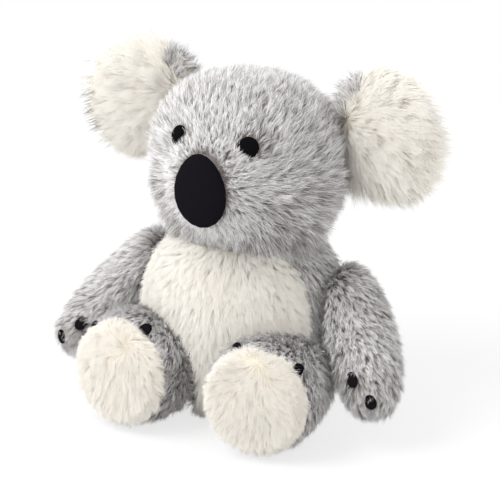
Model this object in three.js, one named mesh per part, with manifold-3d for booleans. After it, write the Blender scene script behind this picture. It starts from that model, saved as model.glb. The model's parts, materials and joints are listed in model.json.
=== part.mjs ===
// Seated plush koala that holds a small rubber hot water bottle in a pouch behind a flap in its back.
// Millimetres, +Z up. The koala looks along -Y, its left side is +X, and the origin is the middle of
// the flat place that it sits on.
import * as THREE from "three";
import { mergeVertices } from "three/addons/utils/BufferGeometryUtils.js";
import Module from "manifold-3d";

const wasm = await Module();
wasm.setup();

const X = new THREE.Vector3(1, 0, 0);
const Y = new THREE.Vector3(0, 1, 0);
const Z = new THREE.Vector3(0, 0, 1);
const DEGREE = Math.PI / 180;

// Clearances
const SEAM_GAP = 0.35; // between two pieces sewn to each other
const MOVING_GAP = 1; // between a limb and what it moves past
const BASE_FLAT = 0.5; // how deep the stuffing is pressed flat where it sits

// Body
const BODY_HEIGHT = 184;
const BODY_HALF_WIDTH = 91;
const BODY_HALF_DEPTH = 80;
const BODY_CENTRE_Y = 5;
const BODY_FULLNESS = 2.4;
const BODY_WIDEST = 0.42; // share of the height at which the body is widest
const BODY_SHOULDER_SCALE = 0.9; // width at the shoulders against the width at the seat
const PANEL_THICKNESS = 3.5; // backing and pressed pile of a sewn-on panel
const BELLY_HALF_WIDTH = 74;
const BELLY_HALF_HEIGHT = 86;
const BELLY_CENTRE_Z = 92;

// Head
const HEAD_CENTRE = new THREE.Vector3(0, 6, 220.5);
const HEAD_HALF_WIDTH = 84;
const HEAD_HALF_DEPTH = 74;
const HEAD_HALF_HEIGHT = 76.5;
const HEAD_FULLNESS = 2.35;
const MUZZLE_ROOT_Y = -4;
const MUZZLE_TIP_Y = -80;
const MUZZLE_DROP = 1; // how far the muzzle lies below the middle of the head
const MUZZLE_ROOT_RADIUS = 64;
const MUZZLE_TIP_RADIUS = 39;
const NOSE_HALF_WIDTH = 26;
const NOSE_HALF_HEIGHT = 33;
const NOSE_PROUD = 8;
const NOSE_TAPER = 0.78; // width of the nose at its top against its widest
const EYE_RADIUS = 9.3;
const EYE_PROUD = 2.5;
const EYE_HEIGHT = 0.73; // share of the head's height
const EYE_TURN = 25; // degrees from straight ahead
const NECK_PIVOT = new THREE.Vector3(0, 8, 163);
const NECK_CORE_RADIUS = 26;
const NECK_TURN = 20;
const NECK_NOD = 6;

// Ears
const EAR_CENTRE = new THREE.Vector3(116, 34, 253);
const EAR_HALF_WIDTH = 52;
const EAR_HALF_HEIGHT = 60;
const EAR_THICKNESS = 26;
const EAR_FRONT_SHARE = 0.55; // how much of the thickness is the white front
const EAR_TURNED_IN = 10; // degrees that the ear's front turns in from straight ahead
const EAR_SEAM_X = 70;
const EAR_FLEX = 18;

// Arms
const SHOULDER = new THREE.Vector3(74, 10, 127);
const ELBOW = new THREE.Vector3(108, 14, 93);
const HAND = new THREE.Vector3(151, -54, 38);
const SHOULDER_RADIUS = 33;
const HAND_RADIUS = 30;
const ARM_FULLNESS = 3.2;
const ARM_BACK = 18;
const ARM_FORWARD = 24;
const HAND_CLAW_INNER = { t: 0.875, angle: 3.05 }; // place along the arm and round it
const HAND_CLAW_TIP = { t: 0.985, angle: 2.6 };
const CLAW_HALF_LENGTH = 7.5;
const CLAW_HALF_WIDTH = 5.6;
const CLAW_PROUD = 2;

// Legs
const HIP = new THREE.Vector3(52, -8, 43.5);
const SOLE_CENTRE = new THREE.Vector3(66, -108, 52.5);
const HIP_RADIUS = 44;
const SOLE_RADIUS = 53;
const LEG_FULLNESS = 4.5;
const SOLE_SHARE = 0.84; // radius of the white sole against the leg's
const FOOT_CLAW_INNER = { t: 0.92, angle: 2.05 }; // place along the leg and round it
const FOOT_CLAW_OUTER = { t: 0.925, angle: 0.75 };
const LEG_IN = 4;
const LEG_OUT = 6;

// Pouch and flap in the back
const POUCH_BOTTOM = 15;
const POUCH_TOP = 135;
const POUCH_FRONT_Y = 14;
const POUCH_SQUARENESS = 4.5;
const LINING = 1.5;
const FLAP_THICKNESS = 7;
const FLAP_LAP = 12; // how far the flap laps over the pouch at each side
const FLAP_LAP_ENDS = 6; // and above and below
const FLAP_SQUARENESS = 3.2;
const FLAP_FREE_GAP = 3; // round the free edges, so that the flap clears them as it opens
const TAPE_WIDTH = 9;
const TAPE_THICKNESS = 1.5;
const TAPE_LENGTH = 80;
const TAPE_GAP = 0.6; // between the closed tapes

// Bottle
const BOTTLE_HALF_WIDTH = 45;
const BOTTLE_HALF_HEIGHT = 38;
const BOTTLE_THICKNESS = 28;
const BOTTLE_WALL = 2;
const BOTTLE_SQUARENESS = 3.6;
const BOTTLE_FULLNESS = 2;
const RIM_WIDTH = 3; // flat flange where the two moulded halves join
const RIM_THICKNESS = 4;
const BOTTLE_PLAY = 1; // between the bottle and the lining round it
const NECK_BORE = 7.5;
const NECK_WALL = 2;
const SEAT_LEDGE = 1; // how far the stopper's seat stands out past the neck
const NECK_RUN = 13; // from the bottle's shoulder to the seat of the stopper
const COLLAR_WALL = 2.2;
const COLLAR_HEIGHT = 8;
const FUNNEL_HEIGHT = 9;
const FUNNEL_FLARE = 1.4;
const FERRULE_WALL = 1.2;
const FERRULE_LENGTH = 13;
const THREAD_GAP = 0.5;
const PLUG_LENGTH = 8;
const WASHER_THICKNESS = 1.8;
const STOPPER_FLANGE = 2.6;
const STOPPER_GRIP_HEIGHT = 9.5;
const STOPPER_GRIP_WIDTH = 17;
const STOPPER_GRIP_THICKNESS = 6;

// Colours, from the photograph where it shows the piece
const FINISH = {
  grey_fur: { color: 0xb9b5b3, roughness: 0.95 },
  white_fur: { color: 0xf0ece2, roughness: 0.95 },
  black_pad: { color: 0x1c1a1d, roughness: 0.9 },
  lining: { color: 0x8d9096, roughness: 0.9 },
  tape: { color: 0x55565a, roughness: 0.8 },
  rubber: { color: 0x5f7f95, roughness: 0.55 },
  ferrule: { color: 0xd8d4c8, roughness: 0.4 },
  stuffing: { color: 0xf6f4ef, roughness: 1 },
};

// A three.js geometry as a closed solid.
function solidOf(geometry) {
  const bare = geometry.clone();
  bare.deleteAttribute("normal");
  bare.deleteAttribute("uv");
  const merged = mergeVertices(bare, 1e-4);
  const triVerts = new Uint32Array(merged.index.array);
  const vertProperties = merged.attributes.position.array;
  const made = new wasm.Manifold(new wasm.Mesh({ numProp: 3, vertProperties, triVerts }));
  if (made.volume() > 0) return made;
  for (let i = 0; i < triVerts.length; i += 3) {
    [triVerts[i + 1], triVerts[i + 2]] = [triVerts[i + 2], triVerts[i + 1]];
  }
  return new wasm.Manifold(new wasm.Mesh({ numProp: 3, vertProperties, triVerts }));
}

// A solid's triangles as a three.js geometry.
function geometryOf(solid) {
  const mesh = solid.getMesh();
  const positions = new Float32Array(mesh.numVert * 3);
  for (let i = 0; i < mesh.numVert; i++) {
    positions.set(mesh.vertProperties.subarray(i * mesh.numProp, i * mesh.numProp + 3), i * 3);
  }
  const geometry = new THREE.BufferGeometry();
  geometry.setAttribute("position", new THREE.BufferAttribute(positions, 3));
  geometry.setIndex(new THREE.BufferAttribute(new Uint32Array(mesh.triVerts), 1));
  return geometry;
}

// The part of a solid that is its largest closed body, without the crumbs that a cut may leave.
function largest(solid) {
  return solid.decompose().sort((a, b) => b.volume() - a.volume())[0];
}

// A solid turned by an angle in degrees about an axis through a point.
function turned(solid, pivot, axis, degrees) {
  const turn = new THREE.Matrix4()
    .makeTranslation(pivot.x, pivot.y, pivot.z)
    .multiply(new THREE.Matrix4().makeRotationAxis(axis, degrees * DEGREE))
    .multiply(new THREE.Matrix4().makeTranslation(-pivot.x, -pivot.y, -pivot.z));
  return solid.transform(turn.elements);
}

// All the space that a solid passes through as it turns between two angles.
function swept(solid, pivot, axis, from, to, steps) {
  let all = turned(solid, pivot, axis, from);
  for (let i = 1; i <= steps; i++) {
    all = all.add(turned(solid, pivot, axis, from + ((to - from) * i) / steps));
  }
  return all;
}

// The same solid on the other side of the koala.
function mirrored(solid) {
  return solid.mirror(X.toArray());
}

// A box between two corners.
function block(low, high) {
  const size = new THREE.Vector3().subVectors(high, low);
  const middle = new THREE.Vector3().addVectors(low, high).multiplyScalar(0.5);
  return solidOf(new THREE.BoxGeometry(size.x, size.y, size.z).translate(middle.x, middle.y, middle.z));
}

// A stuffed form that swells and tapers along a path. Its sections are rounded, its ends are closed
// domes, and a higher fullness fills it out towards a cylinder.
class StuffedForm {
  constructor({ path, across, width, depth, fullness, widest = 0.5, squareness = 2, sides, rings }) {
    Object.assign(this, { path, across, width, depth, fullness, squareness, sides, rings });
    this.bias = Math.log(0.5) / Math.log(widest);
    this.reach = Math.max(...width, ...depth);
  }

  // How much of its full section the form has at t, from 0 at an end to 1 where it is widest.
  swell(t) {
    const offset = Math.abs(2 * t ** this.bias - 1);
    return (1 - Math.min(offset, 1) ** this.fullness) ** (1 / this.fullness);
  }

  // The point of the surface at t along the path and at an angle round it, grown outwards.
  point(t, angle, grow = 0) {
    const along = this.path.getTangent(t);
    const side = new THREE.Vector3().crossVectors(along, this.across).normalize();
    const wide = new THREE.Vector3().crossVectors(side, along).normalize();
    const scale = this.swell(t) * (1 + grow / this.reach);
    const w = scale * THREE.MathUtils.lerp(this.width[0], this.width[1], t);
    const d = scale * THREE.MathUtils.lerp(this.depth[0], this.depth[1], t);
    const round = (v) => Math.sign(v) * Math.abs(v) ** (2 / this.squareness);
    return this.path
      .getPoint(t)
      .addScaledVector(along, grow * (2 * t - 1))
      .addScaledVector(wide, w * round(Math.cos(angle)))
      .addScaledVector(side, d * round(Math.sin(angle)));
  }

  // The outward direction of the surface there.
  normal(t, angle) {
    const step = 0.01;
    const alongT = this.point(t + step, angle).sub(this.point(t - step, angle));
    const round = this.point(t, angle + step).sub(this.point(t, angle - step));
    const normal = alongT.cross(round).normalize();
    const outward = this.point(t, angle).sub(this.path.getPoint(t));
    return normal.dot(outward) < 0 ? normal.negate() : normal;
  }

  // The closed solid, grown outwards by an even amount.
  solid(grow = 0) {
    const positions = [this.point(0, 0, grow).toArray()];
    for (let i = 1; i < this.rings; i++) {
      const t = (1 - Math.cos((Math.PI * i) / this.rings)) / 2;
      for (let j = 0; j < this.sides; j++) {
        positions.push(this.point(t, (2 * Math.PI * j) / this.sides, grow).toArray());
      }
    }
    positions.push(this.point(1, 0, grow).toArray());
    const last = positions.length - 1;
    const index = [];
    for (let j = 0; j < this.sides; j++) {
      const next = (j + 1) % this.sides;
      index.push(0, 1 + next, 1 + j);
      for (let i = 0; i < this.rings - 2; i++) {
        const a = 1 + i * this.sides;
        const b = a + this.sides;
        index.push(a + j, a + next, b + next, a + j, b + next, b + j);
      }
      const a = 1 + (this.rings - 2) * this.sides;
      index.push(a + j, a + next, last);
    }
    const geometry = new THREE.BufferGeometry();
    geometry.setAttribute("position", new THREE.Float32BufferAttribute(positions.flat(), 3));
    geometry.setIndex(index);
    return solidOf(geometry);
  }
}

// A straight path between two points.
function line(from, to) {
  return new THREE.LineCurve3(from, to);
}

// A low domed patch, such as an eye or a claw, whose middle lies on a surface.
function patch({ centre, normal, long, halfLength, halfWidth, proud }) {
  const side = new THREE.Vector3().crossVectors(normal, long).normalize();
  const top = new THREE.Vector3().crossVectors(side, normal);
  const geometry = new THREE.SphereGeometry(1, 12, 8);
  geometry.scale(halfWidth, halfLength, proud);
  geometry.applyMatrix4(new THREE.Matrix4().makeBasis(side, top, normal.clone()));
  geometry.translate(centre.x, centre.y, centre.z);
  return solidOf(geometry);
}

// Body form
const bodyForm = new StuffedForm({
  path: line(
    new THREE.Vector3(0, BODY_CENTRE_Y, -BASE_FLAT),
    new THREE.Vector3(0, BODY_CENTRE_Y, BODY_HEIGHT),
  ),
  across: X,
  width: [BODY_HALF_WIDTH, BODY_HALF_WIDTH * BODY_SHOULDER_SCALE],
  depth: [BODY_HALF_DEPTH, BODY_HALF_DEPTH * BODY_SHOULDER_SCALE],
  fullness: BODY_FULLNESS,
  widest: BODY_WIDEST,
  sides: 28,
  rings: 16,
});

// Head form: a broad ball with a low muzzle in front
const headBall = new StuffedForm({
  path: line(
    HEAD_CENTRE.clone().addScaledVector(Z, -HEAD_HALF_HEIGHT),
    HEAD_CENTRE.clone().addScaledVector(Z, HEAD_HALF_HEIGHT),
  ),
  across: X,
  width: [HEAD_HALF_WIDTH, HEAD_HALF_WIDTH],
  depth: [HEAD_HALF_DEPTH, HEAD_HALF_DEPTH],
  fullness: HEAD_FULLNESS,
  sides: 26,
  rings: 14,
});
const MUZZLE_Z = HEAD_CENTRE.z - MUZZLE_DROP;
const muzzleForm = new StuffedForm({
  path: line(new THREE.Vector3(0, MUZZLE_ROOT_Y, MUZZLE_Z), new THREE.Vector3(0, MUZZLE_TIP_Y, MUZZLE_Z)),
  across: X,
  width: [MUZZLE_ROOT_RADIUS, MUZZLE_TIP_RADIUS],
  depth: [MUZZLE_ROOT_RADIUS, MUZZLE_TIP_RADIUS],
  fullness: 2.6,
  sides: 20,
  rings: 8,
});

function headSolid(grow) {
  return headBall.solid(grow).add(muzzleForm.solid(grow));
}

function neckCoreSolid(grow) {
  const ball = new THREE.SphereGeometry(NECK_CORE_RADIUS + grow, 18, 12);
  ball.rotateX(Math.PI / 2);
  return solidOf(ball.translate(NECK_PIVOT.x, NECK_PIVOT.y, NECK_PIVOT.z));
}

// Limb and ear forms of the koala's left side
const armForm = new StuffedForm({
  path: new THREE.QuadraticBezierCurve3(SHOULDER, ELBOW, HAND),
  across: Y,
  width: [SHOULDER_RADIUS, HAND_RADIUS],
  depth: [SHOULDER_RADIUS, HAND_RADIUS],
  fullness: ARM_FULLNESS,
  sides: 16,
  rings: 12,
});
const legForm = new StuffedForm({
  path: line(HIP.clone().setZ(HIP_RADIUS - BASE_FLAT), SOLE_CENTRE.clone().setZ(SOLE_RADIUS - BASE_FLAT)),
  across: X,
  width: [HIP_RADIUS, SOLE_RADIUS],
  depth: [HIP_RADIUS, SOLE_RADIUS],
  fullness: LEG_FULLNESS,
  sides: 20,
  rings: 12,
});
const earFacing = new THREE.Vector3(0, -1, 0).applyAxisAngle(Z, -EAR_TURNED_IN * DEGREE);
const earForm = new StuffedForm({
  path: line(
    EAR_CENTRE.clone().addScaledVector(earFacing, -EAR_THICKNESS / 2),
    EAR_CENTRE.clone().addScaledVector(earFacing, EAR_THICKNESS / 2),
  ),
  across: Z,
  width: [EAR_HALF_HEIGHT, EAR_HALF_HEIGHT],
  depth: [EAR_HALF_WIDTH, EAR_HALF_WIDTH],
  fullness: 2.6,
  sides: 20,
  rings: 10,
});
const EAR_PIVOT = new THREE.Vector3(EAR_SEAM_X, EAR_CENTRE.y, EAR_CENTRE.z);

const FAR = 400; // further than any piece reaches
const aboveFloor = block(new THREE.Vector3(-FAR, -FAR, 0), new THREE.Vector3(FAR, FAR, FAR));

// A rounded outline in the XZ plane, extruded along Y: a higher squareness gives tighter corners.
const OUTLINE_POINTS = 32;
function roundedBar({ halfWidth, halfHeight, squareness, centreX = 0, centreZ, fromY, toY }) {
  const round = (v) => Math.sign(v) * Math.abs(v) ** (2 / squareness);
  const outline = new THREE.Shape();
  for (let i = 0; i < OUTLINE_POINTS; i++) {
    const angle = (2 * Math.PI * (i + 0.5)) / OUTLINE_POINTS;
    const x = centreX + halfWidth * round(Math.cos(angle));
    const z = centreZ + halfHeight * round(Math.sin(angle));
    if (i === 0) outline.moveTo(x, z);
    else outline.lineTo(x, z);
  }
  const bar = new THREE.ExtrudeGeometry(outline, { depth: toY - fromY, bevelEnabled: false });
  bar.rotateX(Math.PI / 2);
  return solidOf(bar.translate(0, toY, 0));
}

// Pouch
const POUCH_WALL = SEAM_GAP + LINING + BOTTLE_PLAY;
const POUCH_HALF_WIDTH = BOTTLE_HALF_WIDTH + RIM_WIDTH + POUCH_WALL;
const POUCH_HALF_HEIGHT = (POUCH_TOP - POUCH_BOTTOM) / 2;
const POUCH_CENTRE_Z = (POUCH_TOP + POUCH_BOTTOM) / 2;
function pouchBlock(shrink, backY) {
  return roundedBar({
    halfWidth: POUCH_HALF_WIDTH - shrink,
    halfHeight: POUCH_HALF_HEIGHT - shrink,
    squareness: POUCH_SQUARENESS,
    centreZ: POUCH_CENTRE_Z,
    fromY: POUCH_FRONT_Y + shrink,
    toY: backY,
  });
}

// Flap: a layer of the body's back, hinged at its left edge as seen from in front
const FLAP_HALF_WIDTH = POUCH_HALF_WIDTH + FLAP_LAP;
const FLAP_HALF_HEIGHT = POUCH_HALF_HEIGHT + FLAP_LAP_ENDS;
const LEDGE_DEPTH = FLAP_THICKNESS + 2 * TAPE_THICKNESS + 2 * SEAM_GAP + TAPE_GAP;

// The layer of the body's back between two depths under its surface.
function backLayer(outer, inner) {
  const back = block(new THREE.Vector3(-FAR, BODY_CENTRE_Y, 0), new THREE.Vector3(FAR, FAR, FAR));
  return bodyForm.solid(-outer).subtract(bodyForm.solid(-inner)).intersect(back);
}

// The flap's outline through the body, wider on its free side and at its ends by a gap.
function flapBar(gap) {
  const hingeGap = gap > 0 ? SEAM_GAP : 0;
  return roundedBar({
    halfWidth: FLAP_HALF_WIDTH + (gap + hingeGap) / 2,
    halfHeight: FLAP_HALF_HEIGHT + gap,
    squareness: FLAP_SQUARENESS,
    centreX: (gap - hingeGap) / 2,
    centreZ: POUCH_CENTRE_Z,
    fromY: BODY_CENTRE_Y,
    toY: FAR,
  });
}

function headSweep() {
  const head = headSolid(MOVING_GAP);
  const nods = swept(head, NECK_PIVOT, X, -NECK_NOD, NECK_NOD, 2);
  return swept(nods, NECK_PIVOT, Z, -NECK_TURN, NECK_TURN, 2);
}

// The body with its stuffing: room for the head's turns, the neck, the flap and the pouch.
function bodyBack() {
  return largest(
    bodyForm
      .solid()
      .subtract(headSweep())
      .subtract(neckCoreSolid(SEAM_GAP))
      .subtract(backLayer(-1, LEDGE_DEPTH).intersect(flapBar(FLAP_FREE_GAP)))
      .subtract(pouchBlock(0, FAR))
      .intersect(aboveFloor),
  );
}

function bellyPanel() {
  const tilt = new THREE.CylinderGeometry(1, 1, FAR, 40);
  tilt.scale(BELLY_HALF_WIDTH, 1, BELLY_HALF_HEIGHT);
  tilt.translate(0, BODY_CENTRE_Y - FAR / 2, BELLY_CENTRE_Z);
  const floorGap = block(new THREE.Vector3(-FAR, -FAR, MOVING_GAP), new THREE.Vector3(FAR, FAR, FAR));
  return bodyForm
    .solid(PANEL_THICKNESS)
    .subtract(bodyForm.solid(SEAM_GAP))
    .intersect(solidOf(tilt))
    .intersect(floorGap);
}

const legSweep = swept(legForm.solid(MOVING_GAP), HIP, Z, -LEG_IN, LEG_OUT, 3);
const armSweep = swept(armForm.solid(MOVING_GAP), SHOULDER, X, -ARM_BACK, ARM_FORWARD, 6);

const bodySolid = bodyBack();
const bellySolid = largest(
  bellyPanel()
    .subtract(headSweep())
    .subtract(legSweep)
    .subtract(mirrored(legSweep))
    .subtract(armSweep)
    .subtract(mirrored(armSweep)),
);

// A limb, cut by what stands still beside it at every turn of its own
function limb({ form, still, pivot, axis, from, to, steps }) {
  const clear = swept(still, pivot, axis, -to, -from, steps);
  return largest(form.solid().subtract(clear).intersect(aboveFloor));
}
const grownBody = bodyForm.solid(MOVING_GAP);
const legLeft = limb({
  form: legForm,
  still: grownBody,
  pivot: HIP,
  axis: Z,
  from: -LEG_IN,
  to: LEG_OUT,
  steps: 3,
});
const armLeft = limb({
  form: armForm,
  still: grownBody.add(legForm.solid(MOVING_GAP)),
  pivot: SHOULDER,
  axis: X,
  from: -ARM_BACK,
  to: ARM_FORWARD,
  steps: 6,
}).subtract(legSweep);

// The white sole, laid on the front end of the leg
function soleLayer(inner, outer, grow) {
  const disc = new THREE.CylinderGeometry(1, 1, FAR, 28);
  const radius = SOLE_RADIUS * SOLE_SHARE + grow;
  disc.scale(radius, 1, radius);
  disc.translate(0, FAR / 2, 0);
  disc.applyQuaternion(new THREE.Quaternion().setFromUnitVectors(Y, legForm.path.getTangent(1)));
  const middle = legForm.path.getPoint(0.7);
  disc.translate(middle.x, middle.y, middle.z);
  return legForm.solid(outer).subtract(legForm.solid(inner)).intersect(solidOf(disc)).intersect(aboveFloor);
}
const soleLeft = largest(soleLayer(SEAM_GAP, PANEL_THICKNESS, 0));

// A claw on the surface of a limb, pointing along it and clear of what lies beside it
function claw({ form, t, angle, beside }) {
  const dome = patch({
    centre: form.point(t, angle),
    normal: form.normal(t, angle),
    long: form.path.getTangent(t),
    halfLength: CLAW_HALF_LENGTH,
    halfWidth: CLAW_HALF_WIDTH,
    proud: CLAW_PROUD,
  });
  const seated = dome.subtract(form.solid(SEAM_GAP));
  return largest(beside ? seated.subtract(beside) : seated);
}
const besideSole = soleLayer(-1, PANEL_THICKNESS + SEAM_GAP, SEAM_GAP);

// Head, with the pieces that lie on it
const headPiece = largest(headSolid(0).subtract(neckCoreSolid(SEAM_GAP)));

function nose() {
  const pad = new THREE.SphereGeometry(1, 20, 12);
  const at = pad.attributes.position;
  for (let i = 0; i < at.count; i++) {
    const rise = (at.getZ(i) + 1) / 2;
    at.setX(i, at.getX(i) * THREE.MathUtils.lerp(1, NOSE_TAPER, rise ** 2));
  }
  pad.scale(NOSE_HALF_WIDTH, NOSE_PROUD, NOSE_HALF_HEIGHT);
  pad.translate(0, MUZZLE_TIP_Y, MUZZLE_Z);
  return largest(solidOf(pad).subtract(headSolid(SEAM_GAP)));
}

function eye(side) {
  const angle = -Math.PI / 2 + side * EYE_TURN * DEGREE;
  const dome = patch({
    centre: headBall.point(EYE_HEIGHT, angle),
    normal: headBall.normal(EYE_HEIGHT, angle),
    long: Z,
    halfLength: EYE_RADIUS,
    halfWidth: EYE_RADIUS,
    proud: EYE_PROUD,
  });
  return largest(dome.subtract(headSolid(SEAM_GAP)));
}

// Ear: a grey back and a white front, both cut by the head at every flex
const earClear = swept(headSolid(MOVING_GAP), EAR_PIVOT, Z, -EAR_FLEX, EAR_FLEX, 6);
const earWhole = largest(earForm.solid().subtract(earClear));
function earHalf(front) {
  const cut = new THREE.BoxGeometry(FAR, FAR, FAR);
  const shift = EAR_THICKNESS * (0.5 - EAR_FRONT_SHARE) + (front ? SEAM_GAP / 2 : -SEAM_GAP / 2);
  cut.translate(0, front ? -FAR / 2 : FAR / 2, 0);
  cut.applyQuaternion(new THREE.Quaternion().setFromUnitVectors(new THREE.Vector3(0, -1, 0), earFacing));
  const at = EAR_CENTRE.clone().addScaledVector(earFacing, shift);
  cut.translate(at.x, at.y, at.z);
  return largest(earWhole.intersect(solidOf(cut)));
}

// Back flap with its loop tape, and the hook tape on the ledge that it closes on
const flap = largest(backLayer(0, FLAP_THICKNESS).intersect(flapBar(0)).subtract(headSweep()));
const TAPE_CENTRE_X = FLAP_HALF_WIDTH - FLAP_LAP / 2;
function tape(depth) {
  const strip = block(
    new THREE.Vector3(TAPE_CENTRE_X - TAPE_WIDTH / 2, BODY_CENTRE_Y, POUCH_CENTRE_Z - TAPE_LENGTH / 2),
    new THREE.Vector3(TAPE_CENTRE_X + TAPE_WIDTH / 2, FAR, POUCH_CENTRE_Z + TAPE_LENGTH / 2),
  );
  return largest(backLayer(depth, depth + TAPE_THICKNESS).intersect(strip));
}
const loopTape = tape(FLAP_THICKNESS + SEAM_GAP);
const hookTape = tape(FLAP_THICKNESS + SEAM_GAP + TAPE_THICKNESS + TAPE_GAP);

// Pouch lining, open at the back
const lining = largest(
  pouchBlock(SEAM_GAP, FAR)
    .subtract(pouchBlock(SEAM_GAP + LINING, FAR + 1))
    .intersect(bodyForm.solid(-LEDGE_DEPTH - SEAM_GAP)),
);

// Bottle
const BOTTLE_BOTTOM = POUCH_BOTTOM + SEAM_GAP + LINING + BOTTLE_PLAY;
const BOTTLE_CENTRE_Z = BOTTLE_BOTTOM + RIM_WIDTH + BOTTLE_HALF_HEIGHT;
const BOTTLE_FRONT_Y = POUCH_FRONT_Y + SEAM_GAP + LINING + BOTTLE_PLAY;
const SHOULDER_Z = BOTTLE_CENTRE_Z + BOTTLE_HALF_HEIGHT;
const SEAT_Z = SHOULDER_Z + NECK_RUN;
const NECK_FOOT_Z = SHOULDER_Z - COLLAR_HEIGHT;
const NECK_OUTER = NECK_BORE + NECK_WALL;
const COLLAR_OUTER = NECK_OUTER + SEAM_GAP + COLLAR_WALL;
const SEAT_RADIUS = NECK_OUTER + SEAT_LEDGE;
const FUNNEL_RADIUS = SEAT_RADIUS + NECK_WALL + FUNNEL_FLARE;
const BOTTLE_Y = BOTTLE_FRONT_Y + Math.max(BOTTLE_THICKNESS / 2, FUNNEL_RADIUS);

// A straight round bar along Z in line with the bottle's neck.
function neckBar(radius, low, high) {
  const bar = new THREE.CylinderGeometry(radius, radius, high - low, 20);
  bar.rotateX(Math.PI / 2);
  return solidOf(bar.translate(0, BOTTLE_Y, (low + high) / 2));
}

function pillow(grow) {
  const half = BOTTLE_THICKNESS / 2;
  return new StuffedForm({
    path: line(
      new THREE.Vector3(0, BOTTLE_Y - half, BOTTLE_CENTRE_Z),
      new THREE.Vector3(0, BOTTLE_Y + half, BOTTLE_CENTRE_Z),
    ),
    across: X,
    width: [BOTTLE_HALF_WIDTH, BOTTLE_HALF_WIDTH],
    depth: [BOTTLE_HALF_HEIGHT, BOTTLE_HALF_HEIGHT],
    fullness: BOTTLE_FULLNESS,
    squareness: BOTTLE_SQUARENESS,
    sides: 24,
    rings: 8,
  }).solid(grow);
}

function rim() {
  return roundedBar({
    halfWidth: BOTTLE_HALF_WIDTH + RIM_WIDTH,
    halfHeight: BOTTLE_HALF_HEIGHT + RIM_WIDTH,
    squareness: BOTTLE_SQUARENESS,
    centreZ: BOTTLE_CENTRE_Z,
    fromY: BOTTLE_Y - RIM_THICKNESS / 2,
    toY: BOTTLE_Y + RIM_THICKNESS / 2,
  });
}

function bottleHalf(front) {
  const footRoom = NECK_FOOT_Z - SEAM_GAP;
  const outer = pillow(0)
    .add(rim())
    .add(neckBar(COLLAR_OUTER, footRoom - COLLAR_WALL, SHOULDER_Z + COLLAR_HEIGHT));
  const hollow = pillow(-BOTTLE_WALL).add(
    neckBar(NECK_OUTER + SEAM_GAP, footRoom, SHOULDER_Z + COLLAR_HEIGHT + 1),
  );
  const half = block(
    new THREE.Vector3(-FAR, front ? -FAR : BOTTLE_Y + SEAM_GAP / 2, -FAR),
    new THREE.Vector3(FAR, front ? BOTTLE_Y - SEAM_GAP / 2 : FAR, FAR),
  );
  return largest(outer.subtract(hollow).intersect(half));
}

// A turned piece in line with the bottle's neck, from a closed profile of radius and height.
function neckTurning(profile) {
  const points = profile.map(([r, z]) => new THREE.Vector2(r, z));
  const turning = new THREE.LatheGeometry([...points, points[0].clone()], 20);
  turning.rotateX(Math.PI / 2);
  return solidOf(turning.translate(0, BOTTLE_Y, 0));
}

const FERRULE_BORE = NECK_BORE - FERRULE_WALL;
const FUNNEL_TOP_Z = SEAT_Z + FUNNEL_HEIGHT;
const bottleNeck = neckTurning([
  [NECK_BORE + SEAM_GAP, NECK_FOOT_Z],
  [NECK_OUTER, NECK_FOOT_Z],
  [NECK_OUTER, SEAT_Z - NECK_WALL],
  [SEAT_RADIUS + NECK_WALL, SEAT_Z - NECK_WALL],
  [FUNNEL_RADIUS, FUNNEL_TOP_Z],
  [SEAT_RADIUS + FUNNEL_FLARE, FUNNEL_TOP_Z],
  [SEAT_RADIUS, SEAT_Z],
  [NECK_BORE + SEAM_GAP, SEAT_Z],
]);
const ferrule = neckTurning([
  [FERRULE_BORE, SEAT_Z - FERRULE_LENGTH],
  [NECK_BORE, SEAT_Z - FERRULE_LENGTH],
  [NECK_BORE, SEAT_Z],
  [FERRULE_BORE, SEAT_Z],
]);

const WASHER_LOW = SEAT_Z + SEAM_GAP;
const WASHER_HIGH = WASHER_LOW + WASHER_THICKNESS;
const PLUG_RADIUS = FERRULE_BORE - THREAD_GAP;
const washer = neckTurning([
  [PLUG_RADIUS + THREAD_GAP, WASHER_LOW],
  [SEAT_RADIUS - 1, WASHER_LOW],
  [SEAT_RADIUS - 1, WASHER_HIGH],
  [PLUG_RADIUS + THREAD_GAP, WASHER_HIGH],
]);

const FLANGE_LOW = WASHER_HIGH + SEAM_GAP;
const FLANGE_HIGH = FLANGE_LOW + STOPPER_FLANGE;
function stopper() {
  const w = STOPPER_GRIP_WIDTH / 2;
  const h = STOPPER_GRIP_HEIGHT;
  const grip = new THREE.Shape();
  grip.moveTo(-w, 0);
  grip.lineTo(w, 0);
  grip.lineTo(w, h - w / 2);
  grip.absarc(w / 2, h - w / 2, w / 2, 0, Math.PI / 2);
  grip.lineTo(-w / 2, h);
  grip.absarc(-w / 2, h - w / 2, w / 2, Math.PI / 2, Math.PI);
  const handle = new THREE.ExtrudeGeometry(grip, {
    depth: STOPPER_GRIP_THICKNESS,
    bevelEnabled: false,
    curveSegments: 6,
  });
  handle.rotateX(Math.PI / 2);
  handle.translate(0, BOTTLE_Y + STOPPER_GRIP_THICKNESS / 2, FLANGE_HIGH - 1);
  return neckBar(SEAT_RADIUS - 1, FLANGE_LOW, FLANGE_HIGH)
    .add(neckBar(PLUG_RADIUS, SEAT_Z - PLUG_LENGTH, FLANGE_LOW + 1))
    .add(solidOf(handle));
}

const group = new THREE.Group();

// Adds one solid to the koala as a named mesh.
function place(name, solid, finish) {
  const mesh = new THREE.Mesh(geometryOf(solid), new THREE.MeshStandardMaterial(FINISH[finish]));
  mesh.geometry.computeVertexNormals();
  mesh.name = name;
  group.add(mesh);
}

// Adds a solid and its mirror image, as the left and right one.
function placePair(name, solid, finish) {
  place(name.replace("SIDE", "left"), solid, finish);
  place(name.replace("SIDE", "right"), mirrored(solid), finish);
}

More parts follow.
